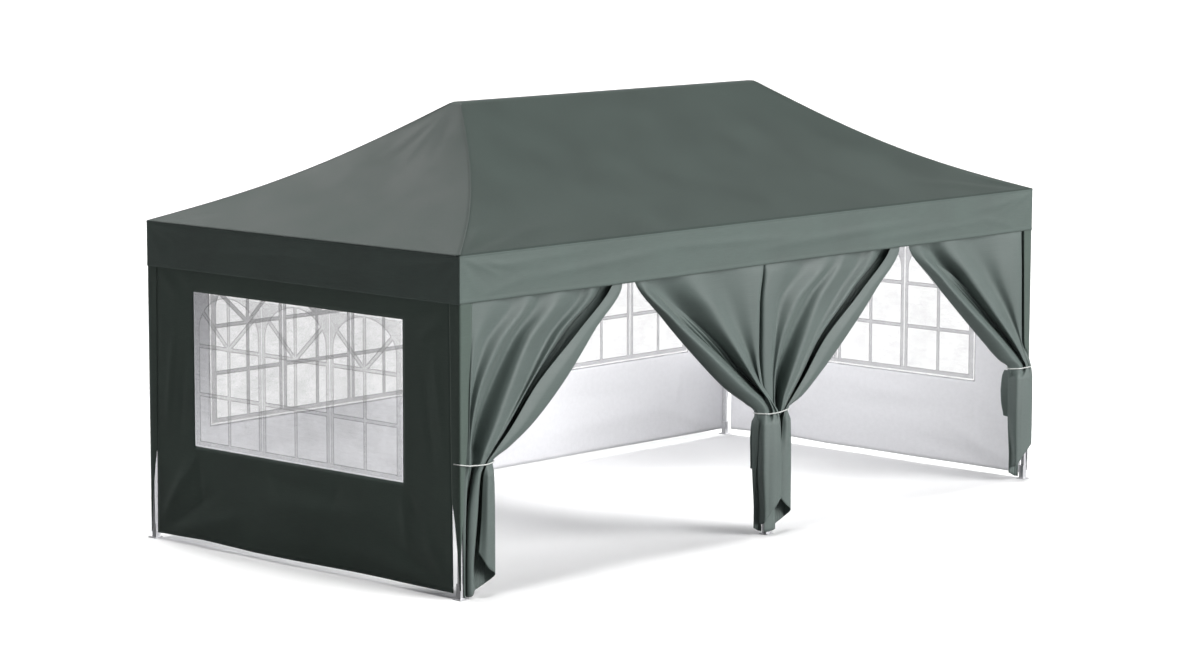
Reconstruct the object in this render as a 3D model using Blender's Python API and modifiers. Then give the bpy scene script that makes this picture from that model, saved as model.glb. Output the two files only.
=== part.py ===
# Marquee tent, 3 m by 6 m: folding frame, hipped canopy with valances, window walls,
# and four door curtains tied back to the legs. Metres, +Z up, ground at z = 0.
# X runs along the 6 m side, -Y is the open front, the origin is the middle of the footprint.
import math

import bmesh
import bpy
import numpy as np
from mathutils import Vector

# Driving dimensions
LENGTH = 6.0            # outside of the valance, along X
DEPTH = 3.0             # outside of the valance, along Y
EAVE_Z = 2.176          # top of the valance
VALANCE = 0.304         # how far the valance hangs
PEAK_Z = 2.98           # top of both peaks
HALF_RIDGE = 1.49       # from the middle to each peak
CAP = 0.035             # half the width of a peak's flat top
HIP_SAG = 0.080         # how far the cloth sags at the middle of a hip
HIP_BOW = 0.070         # how far a hip's seam bows towards the long slope
PANEL_SAG = 0.030       # further sag in the middle of a slope
CLOTH = 0.004           # thickness given to cloth
GAP = 0.0004            # between pieces that touch
WALL_OUT = 0.0045       # from the outside of the valance in to a wall's outer face
LEG_IN = 0.025          # from the outside of the valance in to a leg's centre
LEG = 0.032             # outer square tube
INNER = 0.0270          # inner square tube
TUBE_WALL = 0.0022
LEG_TOP = 2.150
OUTER_FOOT = 0.740      # lower end of the outer tubes
WALL_TOP = 2.120
WALL_HEM = 0.040        # hem above the ground
WALL_HALF_TOP = 1.405   # half the width of an end wall at its top
WALL_HALF_LOW = 1.430   # and at its hem
WINDOW_W = 2.000
WINDOW_LOW = 0.687
WINDOW_HIGH = 1.733
TIE_Z = 0.850           # where the curtains are tied
TIE_R = 0.004
TRUSS_TOP = 2.115
TRUSS_LOW = 1.900
BAR_T = 0.012           # truss bar, thickness
BAR_H = 0.024           # truss bar, height

HX = LENGTH / 2
HY = DEPTH / 2
EAVE_LOW = EAVE_Z - VALANCE

for old in list(bpy.data.objects):
    bpy.data.objects.remove(old, do_unlink=True)
for old in list(bpy.data.collections):
    bpy.data.collections.remove(old)

TENT = bpy.data.collections.new("marquee_tent")
CUTTERS = bpy.data.collections.new("cutters")
bpy.context.scene.collection.children.link(TENT)
bpy.context.scene.collection.children.link(CUTTERS)
CUTTERS.hide_render = True


def material(name, colour, rough, metal, alpha=1.0):
    """A Principled material."""
    m = bpy.data.materials.new(name)
    m.use_nodes = True
    p = m.node_tree.nodes["Principled BSDF"]
    p.inputs["Base Color"].default_value = (*colour, 1.0)
    p.inputs["Roughness"].default_value = rough
    p.inputs["Metallic"].default_value = metal
    p.inputs["Alpha"].default_value = alpha
    m.diffuse_color = (*colour, alpha)
    return m


ROOF_CLOTH = material("roof_cloth", (0.105, 0.135, 0.125), 0.62, 0.0)
WALL_CLOTH = material("wall_cloth", (0.090, 0.118, 0.108), 0.66, 0.0)
CURTAIN_CLOTH = material("curtain_cloth", (0.110, 0.142, 0.130), 0.60, 0.0)
CLEAR_FILM = material("clear_film", (0.86, 0.87, 0.90), 0.18, 0.0, 0.5)
WINDOW_PRINT = material("window_print", (0.55, 0.56, 0.57), 0.45, 0.0)
TUBE_METAL = material("tube_metal", (0.62, 0.63, 0.64), 0.35, 0.9)
LOWER_METAL = material("lower_tube_metal", (0.70, 0.71, 0.72), 0.30, 0.95)
TRUSS_METAL = material("truss_metal", (0.56, 0.57, 0.58), 0.40, 0.9)
POLE_METAL = material("pole_metal", (0.60, 0.61, 0.62), 0.35, 0.9)
TIE_CORD = material("tie_cord", (0.66, 0.68, 0.66), 0.70, 0.0)


def link(mesh, name, mat, helper=False):
    """Makes the object of a mesh, in its collection."""
    o = bpy.data.objects.new(name, mesh)
    (CUTTERS if helper else TENT).objects.link(o)
    if helper:
        o.hide_render = True
        o.display_type = "WIRE"
    if mat is not None:
        mesh.materials.clear()
        mesh.materials.append(mat)
    return o


def box(name, low, high, mat=None, helper=False):
    """An upright box between two corners."""
    bm = bmesh.new()
    bmesh.ops.create_cube(bm, size=1.0)
    mesh = bpy.data.meshes.new(name)
    bm.to_mesh(mesh)
    bm.free()
    o = link(mesh, name, mat, helper)
    o.location = [(a + b) / 2 for a, b in zip(low, high)]
    o.scale = [b - a for a, b in zip(low, high)]
    return o


def bar(name, a, b, wide, high, mat=None, helper=False):
    """A straight bar of rectangular section from a to b, its height nearest to upright."""
    a = Vector(a)
    b = Vector(b)
    bm = bmesh.new()
    bmesh.ops.create_cube(bm, size=1.0)
    mesh = bpy.data.meshes.new(name)
    bm.to_mesh(mesh)
    bm.free()
    o = link(mesh, name, mat, helper)
    o.location = (a + b) / 2
    o.rotation_mode = "QUATERNION"
    o.rotation_quaternion = (b - a).to_track_quat("X", "Z")
    o.scale = ((b - a).length, wide, high)
    return o


def boolean(o, other, operation):
    """An exact Boolean with one helper."""
    m = o.modifiers.new(operation.lower() + "_" + other.name, "BOOLEAN")
    m.object = other
    m.operation = operation
    m.solver = "EXACT"


def joined(o, others):
    for other in others:
        boolean(o, other, "UNION")
    return o


def grid_solid(name, point, us, vs, mat, drop=None):
    """A sheet given thickness: a grid whose vertices are placed by point(u, v).
    With drop it is thickened straight down, and without it by Solidify about its middle."""
    bm = bmesh.new()
    bmesh.ops.create_grid(bm, x_segments=len(us) - 1, y_segments=len(vs) - 1, size=1.0)
    for v in bm.verts:
        i = int(round((v.co.x + 1) / 2 * (len(us) - 1)))
        j = int(round((v.co.y + 1) / 2 * (len(vs) - 1)))
        v.co = point(us[i], vs[j])
    bmesh.ops.remove_doubles(bm, verts=bm.verts, dist=1e-6)
    bmesh.ops.recalc_face_normals(bm, faces=bm.faces)
    if drop:
        top = bmesh.ops.extrude_face_region(bm, geom=bm.faces[:])
        moved = [g for g in top["geom"] if isinstance(g, bmesh.types.BMVert)]
        bmesh.ops.translate(bm, verts=moved, vec=(0, 0, -drop))
        bmesh.ops.recalc_face_normals(bm, faces=bm.faces)
    mesh = bpy.data.meshes.new(name)
    bm.to_mesh(mesh)
    bm.free()
    o = link(mesh, name, mat)
    if not drop:
        m = o.modifiers.new("thickness", "SOLIDIFY")
        m.thickness = CLOTH
        m.offset = 0.0
    return o


def outline_solid(name, outer, holes, thick, mat):
    """A flat piece from a 2D curve: an outer polygon with polygon holes, extruded."""
    c = bpy.data.curves.new(name, "CURVE")
    c.dimensions = "2D"
    c.fill_mode = "BOTH"
    c.extrude = thick / 2
    for ring in [outer] + holes:
        s = c.splines.new("POLY")
        s.points.add(len(ring) - 1)
        for p, (x, y) in zip(s.points, ring):
            p.co = (x, y, 0, 1)
        s.use_cyclic_u = True
    o = bpy.data.objects.new(name, c)
    TENT.objects.link(o)
    c.materials.append(mat)
    return o


def tube_path(name, points, radius, mat, cyclic=False):
    """A round cord along a path of points."""
    c = bpy.data.curves.new(name, "CURVE")
    c.dimensions = "3D"
    c.bevel_depth = radius
    c.bevel_resolution = 2
    c.use_fill_caps = not cyclic
    s = c.splines.new("POLY")
    s.points.add(len(points) - 1)
    for p, q in zip(s.points, points):
        p.co = (*q, 1)
    s.use_cyclic_u = cyclic
    o = bpy.data.objects.new(name, c)
    TENT.objects.link(o)
    c.materials.append(mat)
    return o


# Legs: an outer tube with its top bracket and slider, and an inner tube with its foot.
def leg(tag, x, y):
    h = LEG / 2
    outer = box("leg_outer_" + tag, (x - h, y - h, OUTER_FOOT), (x + h, y + h, LEG_TOP), TUBE_METAL)
    # the slider and the lock collar stand out on the sides that face into the tent
    in_x = 0 if abs(x) < 0.1 else (-1 if x > 0 else 1)
    in_y = -1 if y > 0 else 1
    for part, z0, z1, more in (("slider", 1.872, 1.932, 0.0045), ("collar", OUTER_FOOT,
                               OUTER_FOOT + 0.045, 0.0020)):
        left = more if in_x <= 0 else -0.0002
        right = more if in_x >= 0 else -0.0002
        near = more if in_y < 0 else -0.0002
        far = more if in_y > 0 else -0.0002
        boolean(outer, box(part + "_" + tag, (x - h - left, y - h - near, z0),
                           (x + h + right, y + h + far, z1), helper=True), "UNION")
    bore = LEG / 2 - TUBE_WALL
    cut = box("bore_" + tag, (x - bore, y - bore, OUTER_FOOT - 0.1),
              (x + bore, y + bore, LEG_TOP - 0.02), helper=True)
    boolean(outer, cut, "DIFFERENCE")
    g = INNER / 2
    inner = box("leg_inner_" + tag, (x - g, y - g, 0.001), (x + g, y + g, 1.0), LOWER_METAL)
    shoe_x = sorted((x - in_x * 0.0158, x + in_x * 0.0230)) if in_x else (x - 0.0195, x + 0.0195)
    shoe_y = sorted((y - in_y * 0.0158, y + in_y * 0.0230))
    shoe = box("shoe_" + tag, (shoe_x[0], shoe_y[0], 0.002), (shoe_x[1], shoe_y[1], 0.100),
               helper=True)
    plate = box("plate_" + tag, (x - 0.036, y - 0.036, 0.0), (x + 0.036, y + 0.036, 0.004),
                helper=True)
    joined(inner, [shoe, plate])
    for i, (sx, sy) in enumerate(((1, -1), (-1, 1))):
        bm = bmesh.new()
        bmesh.ops.create_cone(bm, cap_ends=True, segments=12, radius1=0.0045, radius2=0.0045,
                              depth=0.03)
        mesh = bpy.data.meshes.new("stake_hole")
        bm.to_mesh(mesh)
        bm.free()
        hole = link(mesh, "stake_hole_%s_%d" % (tag, i), None, helper=True)
        hole.location = (x + sx * 0.0275, y + sy * 0.0275, 0.002)
        boolean(inner, hole, "DIFFERENCE")
    return outer, inner


LEG_X = HX - LEG_IN
LEG_Y = HY - LEG_IN
LEGS = {
    "front_left": (-LEG_X, -LEG_Y),
    "front_mid": (0.0, -LEG_Y),
    "front_right": (LEG_X, -LEG_Y),
    "back_left": (-LEG_X, LEG_Y),
    "back_mid": (0.0, LEG_Y),
    "back_right": (LEG_X, LEG_Y),
}
for tag, (x, y) in LEGS.items():
    leg(tag, x, y)


# Scissor spans: two crosses side by side between one leg and the next, the crosses pinned
# where their bars meet. Every bar is fused to its neighbours at the pins.
def scissor_span(name, a, b):
    a = Vector((*a, 0))
    b = Vector((*b, 0))
    along = (b - a).normalized()
    side = Vector((-along.y, along.x, 0))
    a = a + along * (LEG / 2 + 0.006)
    b = b - along * (LEG / 2 + 0.006)
    off = side * (BAR_T / 2 - 0.0005)
    high = Vector((0, 0, TRUSS_TOP - BAR_H))
    low = Vector((0, 0, TRUSS_LOW + BAR_H * 0.3))
    bars = []
    for k in (0, 1):
        p = a.lerp(b, k / 2)
        q = a.lerp(b, (k + 1) / 2)
        bars.append((p + high + off, q + low + off))
        bars.append((p + low - off, q + high - off))
    first = bar(name, bars[0][0], bars[0][1], BAR_T, BAR_H, TRUSS_METAL)
    rest = [bar("%s_bar_%d" % (name, i), p, q, BAR_T, BAR_H, helper=True)
            for i, (p, q) in enumerate(bars[1:])]
    mid = a.lerp(b, 0.5)
    for i, z in enumerate((high.z, low.z)):
        rest.append(box("%s_pin_%d" % (name, i), mid + Vector((-0.013, -0.013, z - 0.018)),
                        mid + Vector((0.013, 0.013, z + 0.018)), helper=True))
    return joined(first, rest)


scissor_span("truss_left", LEGS["front_left"], LEGS["back_left"])
scissor_span("truss_right", LEGS["front_right"], LEGS["back_right"])
scissor_span("truss_middle", LEGS["front_mid"], LEGS["back_mid"])
scissor_span("truss_front_left", LEGS["front_left"], LEGS["front_mid"])
scissor_span("truss_front_right", LEGS["front_mid"], LEGS["front_right"])
scissor_span("truss_back_left", LEGS["back_left"], LEGS["back_mid"])
scissor_span("truss_back_right", LEGS["back_mid"], LEGS["back_right"])


# Peak supports: a pole with a flat cap, and four arms out to the middles of the bay's spans.
def peak_support(name, x):
    bay = LEG_X / 2 * (1 if x > 0 else -1)
    pole = box(name, (x - 0.0125, -0.0125, 1.93), (x + 0.0125, 0.0125, PEAK_Z - 0.022), POLE_METAL)
    cap = box(name + "_cap", (x - 0.03, -0.03, PEAK_Z - 0.032), (x + 0.03, 0.03, PEAK_Z - 0.010),
              helper=True)
    hub = box(name + "_hub", (x - 0.03, -0.03, 1.95), (x + 0.03, 0.03, 2.01), helper=True)
    slider = box(name + "_slider", (x - 0.026, -0.026, 2.32), (x + 0.026, 0.026, 2.37), helper=True)
    parts = [cap, hub, slider]
    clear = 0.0169
    reach = LEG_Y - clear
    ends = {
        "front": (bay, -reach),
        "back": (bay, reach),
        "out": ((LEG_X - clear) * (1 if x > 0 else -1), 0.0),
        "in": (clear * (1 if x > 0 else -1), 0.0),
    }
    for key, (ex, ey) in ends.items():
        low = Vector((ex, ey, TRUSS_LOW + 0.012))
        top = Vector((ex, ey, TRUSS_TOP - 0.03))
        parts.append(bar("%s_low_%s" % (name, key), (x, 0, 1.975), top, BAR_T, BAR_H, helper=True))
        parts.append(bar("%s_top_%s" % (name, key), (x, 0, 2.345), low, BAR_T, BAR_H, helper=True))
    return joined(pole, parts)


peak_support("peak_support_left", -HALF_RIDGE)
peak_support("peak_support_right", HALF_RIDGE)


# Canopy: four sagging slopes. hip(sx, sy, t) runs from an eave corner up to a peak's cap.
def hip(sx, sy, t):
    a = Vector((-HX, -HY, EAVE_Z))
    b = Vector((-HALF_RIDGE - CAP, -CAP, PEAK_Z))
    p = a.lerp(b, t)
    swell = math.sin(math.pi * t)
    out = Vector((b.y - a.y, a.x - b.x, 0)).normalized() * HIP_BOW
    p = p + out * swell
    p.z -= HIP_SAG * swell
    return Vector((p.x * -sx, p.y * -sy, p.z))


def long_slope(sy):
    """The slope over the front (sy -1) or the back (+1)."""
    def point(u, v):
        left = hip(-1, sy, v)
        right = hip(1, sy, v)
        ridge_y = 0.0006 * sy
        eave = Vector((-HX + LENGTH * u, HY * sy, EAVE_Z))
        top = Vector(((2 * u - 1) * (HALF_RIDGE + CAP), CAP * sy, PEAK_Z))
        ends = left.lerp(right, u)
        rails = eave.lerp(top, v)
        c00 = Vector((-HX, HY * sy, EAVE_Z))
        c10 = Vector((HX, HY * sy, EAVE_Z))
        c01 = Vector((-HALF_RIDGE - CAP, CAP * sy, PEAK_Z))
        c11 = Vector((HALF_RIDGE + CAP, CAP * sy, PEAK_Z))
        corners = c00.lerp(c10, u).lerp(c01.lerp(c11, u), v)
        p = ends + rails - corners
        p.z -= PANEL_SAG * math.sin(math.pi * v) * math.sin(math.pi * u) ** 0.7
        if v > 0.999:
            p.y = CAP * sy
        return p if v <= 1.0 else Vector((p.x, ridge_y, PEAK_Z + 0.0))
    return point


def end_slope(sx):
    """The slope over the left (sx -1) or the right (+1) end."""
    def point(u, v):
        front = hip(sx, -1, v)
        back = hip(sx, 1, v)
        shrink = GAP * 1.5
        p = front.lerp(back, u)
        p.y *= 1 - shrink / max(abs(front.y), shrink)
        # the middle of the eave is straight, so the hips' sag fades towards it
        flat_x = -HX + (HX - HALF_RIDGE - CAP) * v
        flat_z = EAVE_Z + (PEAK_Z - EAVE_Z) * v - HIP_SAG * math.sin(math.pi * v)
        mid = math.sin(math.pi * u) ** 0.7 if 0 < u < 1 else 0.0
        p.x = (abs(p.x) * (1 - mid) + -flat_x * mid) * sx
        p.z = p.z * (1 - mid) + (flat_z - 0.012 * math.sin(math.pi * v)) * mid
        return p
    return point


def steps(n, low=0.0, high=1.0):
    return [low + (high - low) * i / n for i in range(n + 1)]


SLOPE_V = steps(9) + [1.0 + 1e-3]
for name, sy in (("roof_front", -1), ("roof_back", 1)):
    grid_solid(name, long_slope(sy), steps(12), SLOPE_V, ROOF_CLOTH, drop=CLOTH)
for name, sx in (("roof_left", -1), ("roof_right", 1)):
    grid_solid(name, end_slope(sx), steps(8), steps(9), ROOF_CLOTH, drop=CLOTH)

# Valances hang from the eaves.
VAL_TOP = EAVE_Z - CLOTH - GAP
for name, sy in (("valance_front", -1), ("valance_back", 1)):
    y = sorted((sy * HY, sy * (HY - CLOTH)))
    box(name, (-HX, y[0], EAVE_LOW), (HX, y[1], VAL_TOP), ROOF_CLOTH)
for name, sx in (("valance_left", -1), ("valance_right", 1)):
    x = sorted((sx * HX, sx * (HX - CLOTH)))
    y = HY - CLOTH - GAP
    box(name, (x[0], -y, EAVE_LOW), (x[1], y, VAL_TOP), ROOF_CLOTH)

# Window walls: a cloth panel with its window cut out, a clear film, and the printed lattice.
WALL_MID = WALL_OUT + CLOTH / 2
LIGHTS = 3
EDGE = 0.022            # light band round the window
EDGE_LOW = 0.042        # the same along its foot
BARS = 0.026            # bars of the lattice
LIGHT_W = (WINDOW_W - 2 * EDGE) / LIGHTS
ROW_1 = 1.050           # middle of the lower cross bar
ROW_2 = 1.412           # middle of the upper cross bar, where the arches spring


def lattice_holes():
    """The openings between the bars, as polygons in (across, up)."""
    holes = []
    half = BARS / 2
    r = LIGHT_W / 2 - BARS - 0.008
    for i in range(LIGHTS):
        c = -WINDOW_W / 2 + EDGE + LIGHT_W * (i + 0.5)
        for s in (-1, 1):
            low = WINDOW_LOW + EDGE_LOW
            for z0, z1 in ((low, ROW_1 - half), (ROW_1 + half, ROW_2 - half)):
                holes.append([(c + s * half, z0), (c + s * r, z0), (c + s * r, z1), (c + s * half, z1)])
            # the fan: two openings each side of the middle bar, split by a slanting bar
            z = ROW_2 + half
            slant = math.radians(41)
            w = half * 1.1
            a0 = math.asin(half / r)
            a1 = slant - math.asin(w / r)
            a2 = slant + math.asin(w / r)
            a3 = math.acos(half / r)
            lower = [(w / math.sin(slant) + 0.012, half)]
            lower += [(r * math.cos(t), r * math.sin(t)) for t in steps(3, a0, a1)]
            upper = [(half, half * math.tan(slant) + w / math.cos(slant) + 0.01)]
            upper += [(r * math.cos(t), r * math.sin(t)) for t in steps(4, a2, a3)]
            for ring in (lower, upper):
                holes.append([(c + s * x, ROW_2 + y) for x, y in ring])
        if i:
            x = -WINDOW_W / 2 + EDGE + LIGHT_W * i
            holes.append([(x - 0.005, WINDOW_LOW + EDGE_LOW), (x + 0.005, WINDOW_LOW + EDGE_LOW),
                          (x + 0.005, WINDOW_HIGH - 0.03), (x - 0.005, WINDOW_HIGH - 0.03)])
    return holes


def window_wall(tag, centre, turn, sides_low, sides_top):
    """A wall seen from outside: centre is the window's middle on the outer plane, turn faces it
    out, and sides_low and sides_top are how far it reaches to each side at its hem and its top."""
    def place(o, depth):
        o.rotation_euler = (math.pi / 2, 0, turn)
        out = Vector((math.sin(turn), -math.cos(turn), 0))
        o.location = Vector((*centre, 0)) - out * depth
    gap = 0.0005
    outer = [(-sides_low[0], WALL_HEM), (sides_low[1], WALL_HEM), (sides_top[1], WALL_TOP),
             (-sides_top[0], WALL_TOP)]
    w = WINDOW_W / 2
    hole = [(-w, WINDOW_LOW), (w, WINDOW_LOW), (w, WINDOW_HIGH), (-w, WINDOW_HIGH)]
    wall = outline_solid("wall_" + tag, outer, [hole], CLOTH, WALL_CLOTH)
    place(wall, CLOTH / 2)
    w -= gap
    low = WINDOW_LOW + gap
    high = WINDOW_HIGH - gap
    ring = [(-w, low), (w, low), (w, high), (-w, high)]
    print_o = outline_solid("lattice_" + tag, ring, lattice_holes(), 0.0012, WINDOW_PRINT)
    place(print_o, CLOTH / 2 - 0.0010)
    film = outline_solid("window_" + tag, ring, [], 0.0012, CLEAR_FILM)
    place(film, CLOTH / 2 + 0.0006)


END_LOW = (WALL_HALF_LOW, WALL_HALF_LOW)
END_TOP = (WALL_HALF_TOP, WALL_HALF_TOP)
window_wall("left_end", (-HX + WALL_OUT, 0.0), -math.pi / 2, END_LOW, END_TOP)
window_wall("right_end", (HX - WALL_OUT, 0.0), math.pi / 2, END_LOW, END_TOP)
BAY = LEG_X / 2
TO_MID = BAY - 0.0004
TO_CORNER = HX - WALL_OUT - BAY
window_wall("back_left", (-BAY, HY - WALL_OUT), math.pi, (TO_MID, TO_CORNER), (TO_MID, TO_CORNER))
window_wall("back_right", (BAY, HY - WALL_OUT), math.pi, (TO_CORNER, TO_MID), (TO_CORNER, TO_MID))


# Corner flaps: the end of each long side's cloth, wrapped round the corner leg onto the end
# face and tapering to almost nothing near the ground. At the front it also shows beside the
# tied curtain.
FLAP_TOP_W = 0.084
FLAP_FRONT_W = 0.076
FLAP_LOW_W = 0.018
FLAP_LOW_Z = 0.100


def corner_flap(name, sx, sy, wraps):
    d = WALL_OUT + CLOTH / 2
    px = HX - d
    py = HY - d if wraps else HY - WALL_OUT - CLOTH - GAP

    def point(u, v):
        z = WALL_TOP + (FLAP_LOW_Z - WALL_TOP) * v
        end_w = FLAP_TOP_W + (FLAP_LOW_W - FLAP_TOP_W) * v
        front_w = FLAP_FRONT_W + (FLAP_LOW_W - FLAP_FRONT_W) * min(1.0, v * 1.5) ** 0.9
        if u < 0.5:
            return Vector((sx * px, sy * (py - end_w * (1 - 2 * u)), z))
        return Vector((sx * (px - front_w * (2 * u - 1)), sy * py, z))
    us = [0, 0.5, 1] if wraps else [0, 0.5]
    return grid_solid(name, point, us, steps(6), WALL_CLOTH)


corner_flap("corner_flap_front_left", -1, -1, True)
corner_flap("corner_flap_front_right", 1, -1, True)
corner_flap("corner_flap_back_left", -1, 1, False)
corner_flap("corner_flap_back_right", 1, 1, False)


# Door curtains. Each is a sheet gathered from the valance to a tie on its leg. A curtain is
# described by folds: where each fold runs, as a share of the way from the leg to the free edge,
# and how far it stands out. Below the tie the cloth hangs as a roll open at the front.
def through(xs, ys, x):
    """A smooth curve through the points (xs, ys), without overshoot at the ends."""
    xs = np.array(xs, float)
    ys = np.array(ys, float)
    d = np.diff(ys) / np.diff(xs)
    m = np.concatenate([[d[0]], (d[:-1] + d[1:]) / 2, [d[-1]]])
    i = int(np.clip(np.searchsorted(xs, x) - 1, 0, len(xs) - 2))
    h = xs[i + 1] - xs[i]
    t = (x - xs[i]) / h
    return float((2 * t ** 3 - 3 * t ** 2 + 1) * ys[i] + (t ** 3 - 2 * t ** 2 + t) * h * m[i]
                 + (-2 * t ** 3 + 3 * t ** 2) * ys[i + 1] + (t ** 3 - t ** 2) * h * m[i + 1])


S_KNOTS = [0.0, 0.11, 0.23, 0.36, 0.49, 0.62, 0.76, 0.89, 1.0]
TOP_Z = 2.120
CURTAINS = {
    # leg x, side, cloth's start from the leg (top, tie), free edge (z, distance from the leg),
    # folds (share at top, share at tie, power, stand-out at mid, stand-out at tie)
    "bay_left_outer": {
        "leg": -LEG_X, "dir": 1, "start": (0.088, 0.040),
        "edge": [(0.85, 0.258), (0.868, 0.262), (0.92, 0.380), (0.968, 0.523), (1.10, 0.725), (1.235, 0.892),
                 (1.43, 1.085), (1.62, 1.268), (1.87, 1.497)],
        "folds": [(0, 0, 1, 0.0, 0.004), (0.16, 0.14, 1.2, 0.022, 0.026),
                  (0.36, 0.25, 1.5, -0.022, -0.012), (0.54, 0.37, 1.5, 0.018, 0.020),
                  (0.70, 0.49, 1.6, -0.012, -0.020), (0.85, 0.64, 1.8, 0.004, -0.022),
                  (0.955, 0.84, 1.4, -0.030, -0.014), (1.0, 1.0, 1, 0.010, 0.008),
                  (0.965, 0.66, 2.0, 0.042, 0.032)],
        "roll": [(0.040, 0.004), (0.062, 0.036), (0.088, 0.000), (0.130, -0.040), (0.190, -0.052),
                 (0.245, -0.030), (0.272, 0.020), (0.225, 0.064), (0.128, 0.050)],
        "hem": [0.030, 0.030, 0.032, 0.045, 0.070, 0.105, 0.150, 0.205, 0.290],
    },
    "bay_left_inner": {
        "leg": 0.0, "dir": -1, "start": (0.100, 0.036),
        "edge": [(0.85, 0.118), (0.868, 0.120), (0.92, 0.222), (1.014, 0.415), (1.12, 0.570), (1.245, 0.725),
                 (1.42, 0.920), (1.608, 1.125), (1.87, 1.350)],
        "folds": [(0, 0, 1, 0.0, 0.004), (0.20, 0.06, 0.7, 0.018, 0.022),
                  (0.40, 0.10, 0.7, -0.014, 0.004), (0.62, 0.14, 0.6, 0.016, 0.014),
                  (0.82, 0.20, 0.5, -0.040, -0.010), (0.88, 0.48, 0.7, 0.014, 0.006),
                  (0.93, 0.80, 0.9, 0.032, 0.016), (0.97, 0.96, 1, 0.024, 0.010),
                  (1.0, 1.0, 1, 0.002, 0.000)],
        "roll": [(0.036, 0.006), (0.046, 0.026), (0.060, 0.010), (0.078, 0.028), (0.098, 0.006),
                 (0.118, 0.026), (0.140, 0.004), (0.156, 0.018), (0.170, 0.000)],
        "hem": [0.060, 0.060, 0.080, 0.100, 0.130, 0.160, 0.200, 0.240, 0.275],
    },
    "bay_right_inner": {
        "leg": 0.0, "dir": 1, "start": (-0.080, -0.022),
        "edge": [(0.85, 0.186), (0.868, 0.189), (0.92, 0.295), (0.989, 0.438), (1.10, 0.600), (1.235, 0.763),
                 (1.38, 0.935), (1.522, 1.093), (1.87, 1.420)],
        "folds": [(0, 0, 1, 0.004, 0.006), (0.20, 0.10, 1.0, 0.026, 0.026),
                  (0.46, 0.23, 1.0, -0.008, 0.010), (0.60, 0.36, 1.2, 0.022, 0.026),
                  (0.74, 0.49, 1.4, -0.010, -0.010), (0.87, 0.64, 1.4, 0.006, -0.020),
                  (0.955, 0.84, 1.3, -0.026, -0.014), (1.0, 1.0, 1, 0.010, 0.008),
                  (0.970, 0.62, 1.5, 0.042, 0.034)],
        "roll": [(-0.030, 0.010), (0.010, 0.040), (0.050, 0.006), (0.095, -0.032),
                 (0.145, -0.050), (0.200, -0.036), (0.228, 0.010), (0.190, 0.058), (0.112, 0.050)],
        "hem": [0.030, 0.030, 0.034, 0.050, 0.080, 0.110, 0.145, 0.185, 0.250],
    },
    "bay_right_outer": {
        "leg": LEG_X, "dir": -1, "start": (0.078, 0.036),
        "edge": [(0.85, 0.256), (0.868, 0.258), (0.93, 0.330), (1.049, 0.465), (1.16, 0.630), (1.272, 0.775),
                 (1.43, 0.975), (1.603, 1.196), (1.87, 1.425)],
        "folds": [(0, 0, 1, 0.0, 0.004), (0.22, 0.07, 0.7, 0.020, 0.022),
                  (0.42, 0.12, 0.6, -0.012, 0.000), (0.63, 0.18, 0.5, 0.016, 0.018),
                  (0.82, 0.26, 0.4, -0.042, -0.014), (0.88, 0.48, 0.6, 0.012, 0.012),
                  (0.93, 0.74, 0.8, 0.034, -0.010), (0.97, 0.92, 1, 0.026, 0.014),
                  (1.0, 1.0, 1, 0.004, -0.008)],
        "roll": [(0.036, 0.006), (0.060, 0.034), (0.086, 0.006), (0.112, 0.036), (0.140, 0.010),
                 (0.168, 0.034), (0.198, 0.004), (0.228, 0.022), (0.262, -0.006)],
        "hem": [0.030, 0.030, 0.040, 0.055, 0.090, 0.140, 0.230, 0.380, 0.500],
    },
}
CURTAIN_Y = HY - WALL_OUT - CLOTH / 2


def curtain_point(c, s, v):
    """v runs 0 to 1 from the valance to the tie, and 1 to 2 from the tie to the hem."""
    if v <= 1.0:
        z = TOP_Z + (TIE_Z - TOP_Z) * v
    else:
        z = TIE_Z
    t = min(1.0, max(0.0, (z - TIE_Z) / (EAVE_LOW - TIE_Z)))
    zs = [p[0] for p in c["edge"]]
    reach = through(zs, [p[1] for p in c["edge"]], min(z, zs[-1]))
    start = c["start"][1] + (c["start"][0] - c["start"][1]) * t ** 0.8
    share = []
    stand = []
    for top, tie, power, mid_out, tie_out in c["folds"]:
        share.append(tie + (top - tie) * t ** power)
        rise = math.sin(math.pi * min(1.0, (1 - t) * 1.15) ** 0.9 / 2)
        low = (1 - t) ** 3
        stand.append((mid_out * (1 - low) + tie_out * low) * rise)
    across = start + (reach - start) * through(S_KNOTS, share, s)
    out = through(S_KNOTS, stand, s)
    if v > 1.0:
        w = v - 1.0
        b = min(1.0, w / 0.35)
        b = b * b * (3 - 2 * b)
        across = across * (1 - b) + through(S_KNOTS, [p[0] for p in c["roll"]], s) * b
        out = out * (1 - b) + through(S_KNOTS, [p[1] for p in c["roll"]], s) * b
        z = TIE_Z + (through(S_KNOTS, c["hem"], s) - TIE_Z) * w
    return Vector((c["leg"] + c["dir"] * across, -(CURTAIN_Y + max(out, -0.060)), z))


CURTAIN_S = steps(20)
CURTAIN_V = [0.0, 0.197, 0.33, 0.46, 0.58, 0.69, 0.79, 0.87, 0.94, 0.986, 1.0, 1.06, 1.14, 1.24, 1.35,
             1.55, 1.78, 2.0]
for tag, spec in CURTAINS.items():
    grid_solid("curtain_" + tag, lambda s, v: curtain_point(spec, s, v), CURTAIN_S, CURTAIN_V,
               CURTAIN_CLOTH)


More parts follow.
